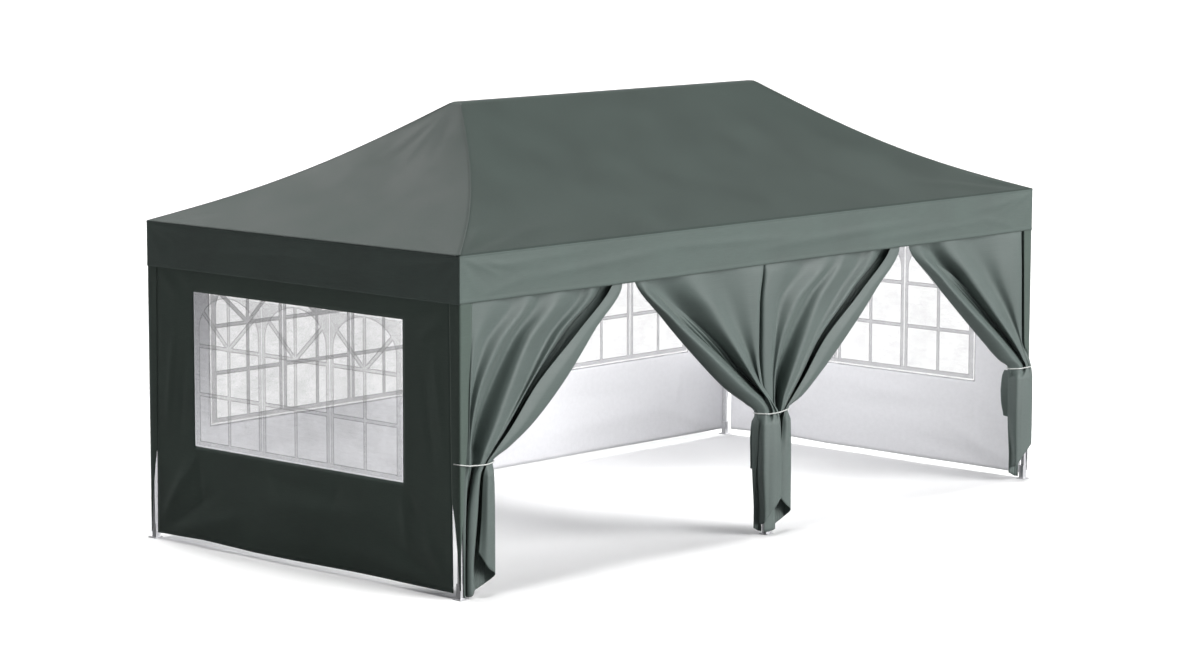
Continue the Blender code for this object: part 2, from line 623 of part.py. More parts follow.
# Ties: one closed loop of cord drawn tight round each leg and its gathered cloth.
def hull(points):
    """The convex hull of points in plan, anticlockwise."""
    points = sorted(set(points))

    def half(row):
        out = []
        for p in row:
            while len(out) > 1 and ((out[-1][0] - out[-2][0]) * (p[1] - out[-2][1])
                                    - (out[-1][1] - out[-2][1]) * (p[0] - out[-2][0])) <= 0:
                out.pop()
            out.append(p)
        return out[:-1]
    return half(points) + half(points[::-1])


def tie(name, curtains, corners, sag):
    solid = [(x, y, 0.0) for x, y in corners]
    for tag in curtains:
        for s in steps(60):
            for v in (0.986, 1.0, 1.03):
                p = curtain_point(CURTAINS[tag], s, v)
                solid.append((p.x, p.y, CLOTH / 2))
    rounded = []
    for x, y, r in solid:
        r += TIE_R + 2 * GAP
        rounded += [(x + r * math.cos(k * math.pi / 4), y + r * math.sin(k * math.pi / 4))
                    for k in range(8)]
    ring = []
    for x, y in hull(rounded):
        if not ring or math.hypot(x - ring[-1][0], y - ring[-1][1]) > 0.0045:
            ring.append((x, y, TIE_Z + 0.002 + sag(x)))
    return tube_path(name, ring, TIE_R, TIE_CORD, cyclic=True)


def leg_corners(sx, out):
    """The corners of a front leg's tube, and of the flap wrapped round it."""
    x = sx * LEG_X
    h = LEG / 2
    found = [(x + i * h, -LEG_Y + j * h) for i in (-1, 1) for j in (-1, 1)]
    if out:
        d = WALL_OUT
        found += [(sx * (HX - d), -(HY - d)), (sx * (HX - d), -(HY - d) + 0.055),
                  (sx * (HX - d) - sx * 0.03, -(HY - d))]
    return found


tie("tie_left", ["bay_left_outer"], leg_corners(-1, True), lambda x: 0.006 * math.cos((x + 2.85) * 12))
tie("tie_mid", ["bay_left_inner", "bay_right_inner"], leg_corners(0, False),
    lambda x: 0.005 * math.cos((x - 0.03) * 14))
tie("tie_right", ["bay_right_outer"], leg_corners(1, True), lambda x: 0.004 * math.cos((x - 2.85) * 12))
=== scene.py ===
import math

import bmesh
import bpy
import numpy as np
from mathutils import Matrix, Vector


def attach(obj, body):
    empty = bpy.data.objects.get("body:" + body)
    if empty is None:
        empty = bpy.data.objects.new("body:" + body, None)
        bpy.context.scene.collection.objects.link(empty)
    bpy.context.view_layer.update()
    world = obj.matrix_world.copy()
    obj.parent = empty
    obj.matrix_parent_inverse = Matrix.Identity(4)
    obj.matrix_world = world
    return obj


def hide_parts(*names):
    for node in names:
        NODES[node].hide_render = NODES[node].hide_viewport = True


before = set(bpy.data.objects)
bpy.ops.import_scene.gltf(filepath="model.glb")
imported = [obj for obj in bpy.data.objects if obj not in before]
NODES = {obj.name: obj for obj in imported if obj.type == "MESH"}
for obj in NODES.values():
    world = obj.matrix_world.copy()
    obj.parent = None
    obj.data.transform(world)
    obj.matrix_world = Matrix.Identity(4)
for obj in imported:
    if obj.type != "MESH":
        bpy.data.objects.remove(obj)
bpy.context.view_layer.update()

# Main sizes, as the part has them
HX = 3.0                # half the length, to the outside of the valance
HY = 1.5
EAVE_Z = 2.176
EAVE_LOW = 1.872
PEAK_Z = 2.98
HALF_RIDGE = 1.49
CAP = 0.035
HIP_SAG = 0.080
HIP_BOW = 0.070
PANEL_SAG = 0.030
WALL_OUT = 0.0045
CLOTH = 0.004
LEG_X = 2.975
LEG_Y = 1.475
LEG = 0.032
WALL_TOP = 2.120
TIE_Z = 0.850
TIE_R = 0.004
WINDOW_LOW = 0.687
WINDOW_HIGH = 1.733
FABRIC = 0.0012         # thickness shown for cloth

# Camera, at the photograph's angle
CAM_AT = (-18.583, -17.128, 4.748)
CAM_YAW = math.radians(42.965)
CAM_PITCH = math.radians(-7.857)
CAM_ROLL = math.radians(0.116)
CAM_LENS = 109.15


def add(name, data):
    """A new object in the scene."""
    o = bpy.data.objects.new(name, data)
    bpy.context.scene.collection.objects.link(o)
    return o


def make_camera():
    ahead = Vector((math.cos(CAM_YAW) * math.cos(CAM_PITCH),
                    math.sin(CAM_YAW) * math.cos(CAM_PITCH), math.sin(CAM_PITCH)))
    right = Vector((math.sin(CAM_YAW), -math.cos(CAM_YAW), 0))
    up = right.cross(ahead)
    r = right * math.cos(CAM_ROLL) + up * math.sin(CAM_ROLL)
    u = up * math.cos(CAM_ROLL) - right * math.sin(CAM_ROLL)
    data = bpy.data.cameras.new("camera")
    data.lens = CAM_LENS
    data.sensor_width = 36.0
    data.sensor_fit = "HORIZONTAL"
    data.clip_end = 200.0
    cam = add("camera", data)
    m = Matrix((r, u, -ahead)).transposed().to_4x4()
    m.translation = Vector(CAM_AT)
    cam.matrix_world = m
    bpy.context.scene.camera = cam


make_camera()


# Materials
class Graph:
    """A short way to lay out the nodes of a material or a world."""

    def __init__(self, owner, shader="Principled BSDF"):
        owner.use_nodes = True
        self.owner, self.tree = owner, owner.node_tree
        self.shader = self.tree.nodes[shader]

    def fill(self, node, inputs):
        for key, value in inputs.items():
            if isinstance(value, bpy.types.NodeSocket):
                self.tree.links.new(value, node.inputs[key])
            else:
                node.inputs[key].default_value = value

    def node(self, kind, inputs, out=0, **settings):
        n = self.tree.nodes.new("ShaderNode" + kind)
        for key, value in settings.items():
            setattr(n, key, value)
        self.fill(n, inputs)
        return n.outputs[out]

    def shade(self, inputs):
        """Fills the shader's sockets, which finishes the material."""
        self.fill(self.shader, inputs)
        return self.owner

    def uv(self):
        return self.node("UVMap", {}, uv_map="cloth_metres")

    def place(self):
        return self.node("TexCoord", {}, "Object")

    def math(self, operation, a, b):
        return self.node("Math", {0: a, 1: b}, operation=operation)

    def times(self, product, *others):
        for value in others:
            product = self.math("MULTIPLY", product, value)
        return product

    def noise(self, coords, scale, detail=3.0, rough=0.5):
        return self.node("TexNoise", {"Vector": coords, "Scale": scale, "Detail": detail, "Roughness": rough})

    def wave(self, coords, scale, distortion, detail=2.0, detail_scale=1.0, bands="X"):
        inputs = {"Vector": coords, "Scale": scale, "Distortion": distortion, "Detail": detail,
                  "Detail Scale": detail_scale}
        return self.node("TexWave", inputs, "Fac", bands_direction=bands)

    def stretch(self, coords, scale):
        return self.node("Mapping", {"Vector": coords, "Scale": scale})

    def spread(self, value, low, high, a=0.0, b=1.0, **settings):
        """A value between a and b, mapped on to low to high."""
        return self.node("MapRange", {"Value": value, "From Min": a, "From Max": b, "To Min": low,
                                      "To Max": high}, **settings)

    def vary(self, noise, low, high):
        """The usual range of a noise, mapped on to low to high."""
        return self.spread(noise, low, high, 0.3, 0.7)

    def tint(self, colour, gain):
        """A colour multiplied by a value."""
        return self.node("VectorMath", {0: tuple(colour), "Scale": gain}, operation="SCALE")

    def bump(self, height, strength, distance, under=None):
        """Relief, laid over the relief that is under it."""
        below = {} if under is None else {"Normal": under}
        return self.node("Bump", {"Height": height, "Strength": strength, "Distance": distance, **below})


def material(name):
    return Graph(bpy.data.materials.new(name))


THREADS = 130.0         # scale of the weave over the cloth's own metres


def cloth_material(name, colour, rough, grain=0.09, broad=0.10, sheen=0.10, gloss=0.35):
    """Coated polyester: a fine plain weave, faint streaks along the threads, soft large patches."""
    g = material(name)
    uv = g.uv()
    threads = g.times(*[g.wave(uv, THREADS, 0.6, 1.0, 2.0, bands) for bands in "XY"])
    speckle = g.noise(uv, 170.0, 3.0, 0.6)
    along = g.noise(g.stretch(uv, (10.0, 260.0, 1.0)), 1.0, 2.0)
    patches = g.noise(g.place(), 2.3, 3.0, 0.55)
    gain = g.times(g.vary(speckle, 1.0 - grain, 1.0 + grain), g.vary(along, 0.94, 1.06),
                   g.vary(patches, 1.0 - broad, 1.0 + broad), g.spread(threads, 0.97, 1.02))
    return g.shade({"Base Color": g.tint(colour, gain),
                    "Roughness": g.vary(patches, rough - 0.05, rough + 0.06), "Sheen Weight": sheen,
                    "Sheen Roughness": 0.5, "Specular IOR Level": gloss,
                    "Normal": g.bump(speckle, 0.25, 0.0012, g.bump(threads, 0.35, 0.0004))})


def coating_material(name, colour):
    """The pale polyurethane coating on the inside of the cloth."""
    g = material(name)
    uv = g.uv()
    mottle = g.noise(uv, 26.0, 5.0, 0.65)
    gain = g.times(g.vary(mottle, 0.965, 1.02), g.spread(g.noise(uv, 300.0, 2.0), 0.98, 1.01))
    weave = g.bump(g.wave(uv, THREADS, 0.8), 0.2, 0.0003)
    return g.shade({"Base Color": g.tint(colour, gain), "Roughness": g.vary(mottle, 0.42, 0.58),
                    "Normal": g.bump(mottle, 0.35, 0.004, weave)})


def film_material(name, alpha, colour):
    """Soft clear window film: hazy, faintly rippled, with rubbed streaks."""
    g = material(name)
    uv = g.uv()
    rub = g.noise(g.stretch(uv, (9.0, 45.0, 1.0)), 1.0, 5.0, 0.7)
    haze = g.vary(g.noise(uv, 3.2, 4.0, 0.6), -0.04, 0.04)
    fog = g.math("ADD", haze, g.spread(rub, -0.02, 0.03, 0.35, 0.7))
    return g.shade({"Base Color": g.tint(colour, g.vary(rub, 0.97, 1.03)), "Alpha": g.math("ADD", fog, alpha),
                    "Roughness": g.vary(rub, 0.10, 0.30), "IOR": 1.45,
                    "Normal": g.bump(g.noise(uv, 7.0), 0.4, 0.006)})


def print_material(name, colour, cover_share, shaded=None):
    """Ink on the window film, a little uneven; light from behind shows through it. shaded: the two
    places across between which painted shade, darker and more opaque ink towards a corner, clears away."""
    g = material(name)
    place = g.place()
    cover = g.noise(place, 60.0, 4.0, 0.6)
    gain = g.times(g.vary(cover, 0.95, 1.04), g.vary(g.noise(place, 5.0, 2.0), 0.95, 1.04))
    share = g.vary(cover, cover_share - 0.04, cover_share + 0.04)
    # painted shade: the ink grows darker and more opaque towards the corner
    if shaded:
        x = g.node("SeparateXYZ", {"Vector": place})
        gain = g.times(gain, g.spread(x, 0.25, 1.0, *shaded))
        share = g.math("ADD", share, g.spread(x, 0.42, 0.0, *shaded))
    return g.shade({"Base Color": g.tint(colour, gain), "Alpha": share,
                    "Roughness": g.spread(cover, 0.38, 0.55), "Normal": g.bump(cover, 0.15, 0.0004)})


def metal_material(name, colour, metal, rough):
    """Powder-coated or galvanised tube: drawn streaks along it, small scuffs, dull patches."""
    g = material(name)
    place = g.place()
    drawn = g.noise(g.stretch(place, (420.0, 420.0, 6.0)), 1.0, 3.0, 0.6)
    scuff = g.noise(place, 38.0, 6.0, 0.7)
    gain = g.times(g.vary(drawn, 0.95, 1.05), g.vary(g.noise(place, 4.0), 0.93, 1.05),
                   g.spread(scuff, 0.92, 1.0, 0.62, 0.45))
    worn = g.spread(scuff, rough - 0.08, rough + 0.14, 0.35, 0.7)
    return g.shade({"Base Color": g.tint(colour, gain), "Metallic": metal,
                    "Roughness": g.math("ADD", worn, g.vary(drawn, -0.04, 0.04)),
                    "Normal": g.bump(drawn, 0.12, 0.0003)})


def cord_material(name, colour):
    """Twisted cord: fine slanting strands."""
    g = material(name)
    place = g.place()
    strands = g.wave(g.node("Mapping", {"Vector": place, "Rotation": (0.6, 0.7, 0.7)}), 55.0, 1.0)
    fuzz = g.noise(place, 900.0, 2.0, 0.6)
    gain = g.times(g.spread(strands, 0.90, 1.03), g.spread(fuzz, 0.95, 1.04))
    return g.shade({"Base Color": g.tint(colour, gain), "Roughness": g.spread(fuzz, 0.6, 0.85),
                    "Normal": g.bump(strands, 0.6, 0.0008)})


# One cloth in four copies of its colour: the roof's is darkened as painted shade, the walls' a little as
# painted shade, and the curtains' is lightened as painted light
ROOF_PAINTED_SHADE = cloth_material("roof_cloth_painted_shade", (0.038, 0.0525, 0.0465), 0.70, sheen=0.07, gloss=0.2)
VALANCE = cloth_material("valance_cloth_woven", (0.083, 0.112, 0.101), 0.60)
WALL = cloth_material("wall_cloth_painted_shade", (0.067, 0.096, 0.081), 0.62)
CURTAIN = cloth_material("curtain_cloth_painted_light", (0.098, 0.126, 0.117), 0.50, grain=0.04, broad=0.05)
COATING = coating_material("pale_coating", (0.80, 0.80, 0.825))
FILM = film_material("window_film_soft", 0.27, (0.42, 0.42, 0.43))
FILM_CLEAR = film_material("window_film_clear", 0.12, (0.84, 0.845, 0.875))
SHADED = (-1.95, -1.45)         # across the back wall, between which the painted shade on its print clears, darkest at its left
PRINT_GREY = print_material("window_print_grey", (0.24, 0.24, 0.25), 0.42)
PRINT_PALE = print_material("window_print_pale", (0.74, 0.74, 0.77), 0.44)
PRINT_SHEER = print_material("window_print_sheer", (0.78, 0.78, 0.81), 0.13)
PRINT_LINE = print_material("window_print_line", (0.34, 0.34, 0.35), 0.26)
# Darker copies of the grey and pale prints for the back left window, as painted shade, with more painted
# shade towards its left
PRINT_GREY_PAINTED_SHADE = print_material("window_print_grey_painted_shade", (0.14, 0.14, 0.15), 0.50, SHADED)
PRINT_PALE_PAINTED_SHADE = print_material("window_print_pale_painted_shade", (0.50, 0.50, 0.52), 0.34, SHADED)
# The legs' outer tubes take a darker copy of the tube finish: painted shade
TUBE_PAINTED_SHADE = metal_material("tube_coated_painted_shade", (0.40, 0.41, 0.43), 0.35, 0.42)
LOWER = metal_material("tube_lower", (0.62, 0.62, 0.64), 0.45, 0.36)
TRUSS = metal_material("truss_coated", (0.56, 0.57, 0.58), 0.45, 0.45)
POLE = metal_material("pole_coated", (0.60, 0.61, 0.62), 0.45, 0.40)
CORD = cord_material("tie_cord_twisted", (0.60, 0.62, 0.60))


# Mesh helpers
def quads(uvs, base=0, loop=False, dropped=None):
    """The faces of a grid of points, from vertex base on, and their corners' places on the cloth."""
    nu, nv = uvs.shape[:2]
    faces, coords = [], []
    for i in range(nu if loop else nu - 1):
        j = (i + 1) % nu
        after = uvs[j] if j else uvs[0] + (uvs[-1, 0] - uvs[-2, 0]) + (uvs[-1, 0] - uvs[0, 0])
        for k in range(nv - 1):
            if dropped is None or not dropped(i, k):
                a, b = base + i * nv + k, base + j * nv + k
                faces.append((a, b, b + 1, a + 1))
                coords.append((uvs[i, k], after[k], after[k + 1], uvs[i, k + 1]))
    return faces, coords


def mesh_object(name, verts, faces, coords, front, back):
    mesh = bpy.data.meshes.new(name)
    mesh.from_pydata(verts, [], faces)
    layer = mesh.uv_layers.new(name="cloth_metres")
    layer.data.foreach_set("uv", np.array(coords, np.float32).reshape(-1))
    mesh.update()
    for mat in (front, back):
        if mat is not None:
            mesh.materials.append(mat)
    mesh.polygons.foreach_set("use_smooth", [True] * len(mesh.polygons))
    return add(name, mesh)


def thicken(o, thick, offset, lined):
    """Gives a sheet thickness. A lined one shows its second material on its back."""
    s = o.modifiers.new("thickness", "SOLIDIFY")
    s.thickness = thick
    s.offset = offset
    if lined:
        s.material_offset = 1
        s.material_offset_rim = 0


def sheet_object(name, points, uvs, front, back=None, thick=FABRIC, toward=None, loop=False, dropped=None):
    """A cloth from a grid of points, given thickness. toward is the side its front faces."""
    o = mesh_object(name, points.reshape(-1, 3).tolist(), *quads(uvs, 0, loop, dropped), front, back)
    if toward is not None:
        mean = sum(np.array(p.normal) * p.area for p in o.data.polygons)
        if np.dot(mean, toward) < 0:
            o.data.flip_normals()
    thicken(o, thick, 0.0, back is not None)
    return o


def grid(us, vs):
    return np.meshgrid(np.asarray(us, float), np.asarray(vs, float), indexing="ij")


def smooth(x):
    x = np.clip(x, 0.0, 1.0)
    return x * x * (3 - 2 * x)


def crease(x, y, a, b, width, depth, ends=0.4):
    """Height of one soft fold line from a to b on a flat sheet."""
    length = math.hypot(b[0] - a[0], b[1] - a[1])
    tx, ty = (b[0] - a[0]) / length, (b[1] - a[1]) / length
    along = ((x - a[0]) * tx + (y - a[1]) * ty) / length
    off = ((x - a[0]) * -ty + (y - a[1]) * tx) / width
    fade = smooth(along / ends) * smooth((1 - along) / ends)
    return depth * fade * np.exp(-off * off)


def creases(x, y, lines):
    return sum(crease(x, y, *line) for line in lines)


def waves(x, y, parts):
    """A sum of gentle sine waves: (along x, along y, phase, height)."""
    return sum(height * np.sin(kx * x + ky * y + phase) for kx, ky, phase, height in parts)


def run_along(pts):
    """How far along a line of points each one lies."""
    return np.concatenate([[0], np.cumsum(np.linalg.norm(np.diff(pts, axis=0), axis=1))])


# Canopy: one continuous sheet over four slopes, sagging between its peaks, hips and eaves
LONG_SLOPE = 1.67       # from eave to ridge along the cloth
END_SLOPE = 1.68
END_SAG = 0.012         # of an end slope's middle, below its hips
HIP_HOLLOW = 0.018      # of a long slope beside its hips
RIDGE_RISE = 0.0015     # of the ridge's middle line
TAPE_WIDE = 0.012
TAPE_THICK = 0.0009
# Folds from a peak: where they start across the ridge, angle, reach, width and height
PEAK_FOLDS = [(0.04, -0.15, 0.72, 0.030, 0.006), (-0.02, -0.45, 0.62, 0.034, -0.007),
              (0.03, 0.12, 0.66, 0.032, -0.006), (0.0, 0.42, 0.70, 0.036, 0.006),
              (0.0, -0.85, 0.55, 0.030, 0.006), (0.0, 0.80, 0.52, 0.030, -0.005),
              (0.0, 1.25, 0.40, 0.026, 0.004), (0.0, -1.22, 0.42, 0.028, -0.005)]
# Folds from an eave corner: how far in along the length and the depth, width and height
CORNER_FOLDS = [(0.75, 0.22, 0.035, -0.005), (0.55, 0.32, 0.035, 0.005),
                (0.22, 0.60, 0.035, -0.004), (1.30, 0.30, 0.05, 0.004)]


def hip(sx, sy, t):
    a = np.array((-HX, -HY, EAVE_Z))
    b = np.array((-HALF_RIDGE - CAP, -CAP, PEAK_Z))
    t = np.asarray(t, float)[..., None]
    p = a + (b - a) * t
    swell = np.sin(math.pi * t)
    out = np.array((b[1] - a[1], a[0] - b[0], 0.0))
    out = out / np.linalg.norm(out) * HIP_BOW
    p = p + out * swell
    p[..., 2] -= HIP_SAG * swell[..., 0]
    return p * np.array((-sx, -sy, 1.0))


def canopy_folds(x, y):
    """Soft folds that run out from the peaks and in from the corners."""
    lines = []
    for sx in (-1, 1):
        px = sx * (HALF_RIDGE + CAP)
        for off, angle, reach, width, depth in PEAK_FOLDS:
            tip = (px + sx * reach * math.cos(angle), off + reach * math.sin(angle))
            lines.append(((px + sx * 0.02, off), tip, width * 1.3, depth * 0.5, 0.45))
        for sy in (-1, 1):
            lines += [((sx * HX, sy * HY), (sx * (HX - dx), sy * (HY - dy)), width, depth)
                      for dx, dy, width, depth in CORNER_FOLDS]
    return creases(x, y, lines)


def slope_points(side, sign, us, vs):
    u, v = grid(us, vs)
    swell = np.sin(math.pi * v)
    chord = EAVE_Z + (PEAK_Z - EAVE_Z) * v
    near = np.minimum(u, 1 - u)
    if side == "long":
        left = hip(-1, sign, v)
        p = left + (hip(1, sign, v) - left) * u[..., None]
        flat_y = sign * (HY - (HY - CAP) * v)
        bow = 1.0 - np.sin(math.pi * u) ** 0.5
        p[..., 1] = flat_y + (p[..., 1] - flat_y) * bow
        mid = np.sin(math.pi * np.clip(u, 0, 1)) ** 0.55
        p[..., 2] = p[..., 2] * (1 - mid) + (chord - PANEL_SAG * swell) * mid
        p[..., 2] -= HIP_HOLLOW * swell * smooth(near / 0.12) * (1 - smooth((near - 0.12) / 0.25))
    else:
        front = hip(sign, -1, v)
        p = front + (hip(sign, 1, v) - front) * u[..., None]
        flat_x = HX - (HX - HALF_RIDGE - CAP) * v
        mid = np.sin(math.pi * np.clip(u, 0, 1)) ** 0.7
        p[..., 0] = sign * (np.abs(p[..., 0]) * (1 - mid) + flat_x * mid)
        p[..., 2] = p[..., 2] * (1 - mid) + (chord - (HIP_SAG + END_SAG) * swell) * mid
    hold = np.minimum(smooth(v / 0.05), smooth((1 - v) / 0.04))
    hips = near * (6.0 if side == "long" else 3.0) * (1.02 - v * 0.6)
    p[..., 2] += canopy_folds(p[..., 0], p[..., 1]) * hold * (0.25 + 0.75 * smooth(hips / 0.10))
    return p


def ridge_points(us, sign, steps=4):
    """From a long slope's top edge over to the middle of the ridge."""
    rows = []
    for w in np.arange(steps + 1) / steps:
        x = (2 * us - 1) * (HALF_RIDGE + CAP)
        z = PEAK_Z + RIDGE_RISE * (1 - (1 - w) ** 2)
        rows.append(np.stack([x, np.full_like(x, sign * CAP * (1 - w)), np.full_like(x, z)], -1))
    return np.stack(rows, 1)


def make_canopy():
    vs = np.linspace(0, 1, 61)
    even = np.linspace(0, 1, 131)
    long_us = 0.35 * (0.5 - 0.5 * np.cos(math.pi * even)) + 0.65 * even
    parts = []
    for sign in (-1, 1):
        p = slope_points("long", sign, long_us, vs)
        parts.append((p, np.stack([p[..., 0], np.broadcast_to(vs * LONG_SLOPE, p.shape[:2])], -1)))
        r = ridge_points(long_us, sign)
        parts.append((r, np.stack([r[..., 0], LONG_SLOPE + CAP - np.abs(r[..., 1])], -1)))
    for sign in (-1, 1):
        p = slope_points("end", sign, np.linspace(0, 1, 71), vs)
        parts.append((p, np.stack([p[..., 1], np.broadcast_to(vs * END_SLOPE, p.shape[:2])], -1)))
    verts, faces, coords = [], [], []
    for points, uvs in parts:
        more = quads(uvs, len(verts))
        verts += points.reshape(-1, 3).tolist()
        faces += more[0]
        coords += more[1]
    o = mesh_object("canopy", verts, faces, coords, ROOF_PAINTED_SHADE, COATING)
    bm = bmesh.new()
    bm.from_mesh(o.data)
    bmesh.ops.remove_doubles(bm, verts=bm.verts, dist=2e-4)
    bmesh.ops.recalc_face_normals(bm, faces=bm.faces)
    if sum(f.normal.z * f.calc_area() for f in bm.faces) < 0:
        bmesh.ops.reverse_faces(bm, faces=bm.faces)
    bm.to_mesh(o.data)
    bm.free()
    thicken(o, FABRIC, -1.0, True)
    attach(o, "root")
    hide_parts("roof_front", "roof_back", "roof_left", "roof_right")
    return o


def hip_tape(name, sx, sy):
    """A narrow sewn strip lying on the cloth along a hip."""
    path = hip(sx, sy, np.linspace(0.004, 0.992, 90))
    up = np.array((sx * 0.34, sy * 0.34, 0.88))
    normals = np.broadcast_to(up / np.linalg.norm(up), path.shape)
    ahead = np.gradient(path, axis=0)
    ahead /= np.linalg.norm(ahead, axis=1)[:, None]
    side = np.cross(normals, ahead)
    side /= np.linalg.norm(side, axis=1)[:, None]
    across = np.linspace(-0.5, 0.5, 5) * TAPE_WIDE
    lift = 0.0010 + np.array([0.0, 0.8, 1.0, 0.8, 0.0]) * 0.0006
    pts = (path[:, None, :] + side[:, None, :] * across[None, :, None]
           + normals[:, None, :] * lift[None, :, None])
    uv = np.stack(grid(run_along(path), across), -1)
    o = sheet_object(name, pts, uv, ROOF_PAINTED_SHADE, thick=TAPE_THICK, toward=normals.mean(0))
    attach(o, "root")
    return o


canopy = make_canopy()
seams = [hip_tape("hip_seam_%s_%s" % (tag_y, tag_x), sx, sy)
         for sx, tag_x in ((-1, "left"), (1, "right")) for sy, tag_y in ((-1, "front"), (1, "back"))]

# Valance: one band hanging all round below the eaves, with a stitched head and a hem
VAL_MID = 0.0020        # from its outside in to the middle of the band
VAL_ROUND = 0.006       # radius of its corners
VAL_TOP = EAVE_Z - 0.0012
HEAD_STITCH = 0.013     # down from its top
HEM_STITCH = 0.2785
# Folds that fan out from a corner's top: reach along, height of the start, fall, width and height
FAN_FOLDS = [(0.42, 0.30, -0.17, 0.016, 0.0036), (0.30, 0.29, -0.22, 0.014, -0.0018),
             (0.62, 0.29, -0.12, 0.020, 0.0026), (0.18, 0.28, -0.25, 0.013, 0.0022),
             (0.95, 0.27, -0.10, 0.024, 0.0020)]
# Long slack folds: from, to, width, height
LONG_FOLDS = [((-2.6, 0.10), (-0.9, 0.20), 0.030, 0.0040), ((-2.2, 0.05), (0.2, 0.13), 0.024, -0.0016),
              ((-1.4, 0.21), (0.6, 0.16), 0.026, 0.0034), ((-0.6, 0.10), (1.9, 0.18), 0.030, 0.0042),
              ((0.3, 0.22), (2.3, 0.20), 0.022, -0.0014), ((0.9, 0.07), (2.7, 0.12), 0.026, 0.0032),
              ((-2.9, 0.22), (-1.6, 0.25), 0.020, 0.0020)]
SHORT_FOLDS = [((-1.2, 0.10), (0.3, 0.17), 0.028, 0.0034), ((-0.4, 0.20), (1.2, 0.12), 0.026, 0.0030),
               ((-0.9, 0.05), (0.9, 0.07), 0.022, 0.0018)]


def rounded_loop(n_long, n_short):
    """Points round the eave, anticlockwise from the front left corner, with outward normals."""
    hx, hy, r = HX - VAL_MID, HY - VAL_MID, VAL_ROUND
    runs = [((r - hx, -hy), (hx - r, -hy), n_long, (0, -1)), ((hx, r - hy), (hx, hy - r), n_short, (1, 0)),
            ((hx - r, hy), (r - hx, hy), n_long, (0, 1)), ((-hx, hy - r), (-hx, r - hy), n_short, (-1, 0))]
    turns = [(hx - r, r - hy), (hx - r, hy - r), (r - hx, hy - r), (r - hx, r - hy)]
    pts, nor = [], []
    for quarter, ((a, b, n, normal), (cx, cy)) in enumerate(zip(runs, turns)):
        for w in np.arange(n) / n:
            pts.append((a[0] + (b[0] - a[0]) * w, a[1] + (b[1] - a[1]) * w))
            nor.append(normal)
        for i in range(6):
            angle = (quarter - 1) * math.pi / 2 + math.pi / 2 * i / 6
            nor.append((math.cos(angle), math.sin(angle)))
            pts.append((cx + r * nor[-1][0], cy + r * nor[-1][1]))
    return np.array(pts), np.array(nor)


def valance_folds(s, z, half):
    """Outward relief of a straight run: s from its middle, z up from its hem, both in metres."""
    lines = []
    for e in (-1, 1):
        c = e * half
        lines += [((c, z0), (c - e * dx, z0 + dz), width, depth) for dx, z0, dz, width, depth in FAN_FOLDS]
        lines.append(((c - e * 0.10, 0.02), (c - e * 0.75, 0.16), 0.022, 0.0022))
    lines += [fold + (0.35,) for fold in (LONG_FOLDS if half > 2 else SHORT_FOLDS)]
    free = smooth((EAVE_Z - EAVE_LOW - z) / 0.10)
    sway = waves(s, z, [(2.1, 3.0, 0.4, 0.0010), (4.7, -6.0, 1.7, 0.0007), (9.5, 5.0, 2.9, 0.0004)])
    return creases(s, z, lines) + free * sway


def make_valance():
    pts, nor = rounded_loop(260, 130)
    rows = np.concatenate([[0.0, 0.004, 0.009, 0.013, 0.017], np.linspace(0.03, 0.268, 17),
                           [0.276, 0.281, 0.285, 0.292, 0.3035]])
    s, d = grid(run_along(pts), rows)
    x, y, nx, ny = (np.broadcast_to(line[:, None], s.shape) for line in (*pts.T, *nor.T))
    up = (EAVE_Z - EAVE_LOW) - d
    long_run = np.abs(ny) > 0.5
    local = np.where(long_run, x, y)
    relief = np.where(long_run, valance_folds(local, up, HX), valance_folds(local, up, HY))
    corner = np.where(long_run, HX - np.abs(x), HY - np.abs(y))
    relief = np.maximum(relief * smooth(corner / 0.03) * smooth(d / 0.03), -0.0006)
    head = 0.0010 * (1 - smooth((d - 0.010) / 0.003)) * smooth(d / 0.002)
    hem = 0.0009 * smooth((d - 0.279) / 0.003)
    stitch = -0.0007 * sum(np.exp(-((d - at) / 0.0016) ** 2) for at in (HEAD_STITCH, HEM_STITCH))
    lift = relief + head + hem + stitch
    z = VAL_TOP - d + 0.0020 * np.sin(local * 1.9 + 0.6) * smooth(d / 0.3)
    p = np.stack([x + nx * lift, y + ny * lift, z], -1)
    o = sheet_object("valance", p, np.stack([s, up], -1), VALANCE, COATING, loop=True)
    # the front faces out: the first run looks along -Y
    if o.data.polygons[10].normal.y > 0:
        o.data.flip_normals()
    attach(o, "root")
    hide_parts("valance_front", "valance_back", "valance_left", "valance_right")
    return o


valance = make_valance()


# Window walls
WINDOW_HALF = 1.004
EDGE = 0.022            # from a window's side to its outer light
EDGE_LOW = 0.042        # and from its foot
EDGE_HIGH = 0.020
LIGHTS = 3              # arched lights in a window
LIGHT_W = (2 * WINDOW_HALF - 2 * EDGE) / LIGHTS
LIGHT_HALF = LIGHT_W / 2 - 0.034
LIGHT_BAR = 0.026       # width of the bars between which LIGHT_HALF reaches
ARM_WIDER = 1.1         # the fan's arms, as a share of the bars
ROW_1 = 1.046           # heights of the two transoms
ROW_2 = 1.374
SPRING = 1.485          # where the arches leave the upright sides
ARCH_RISE = 0.228
ARM_SLANT = math.radians(42)
CUT = WINDOW_HALF / 1.43        # the window's edge, as a share of the way across half a wall
WALL_FOOT = 0.040
WALL_HEM = 0.031                # height of the hem's seam
FILM_MARGIN = 0.008
FILM_IN = 0.0010                # the film lies this far behind the wall's middle
FILM_THICK = 0.0004
PRINT_OUT = 0.0004              # and its print this far before it
FOLD_ROOM = 0.0165              # how far a wall's folds may stand out
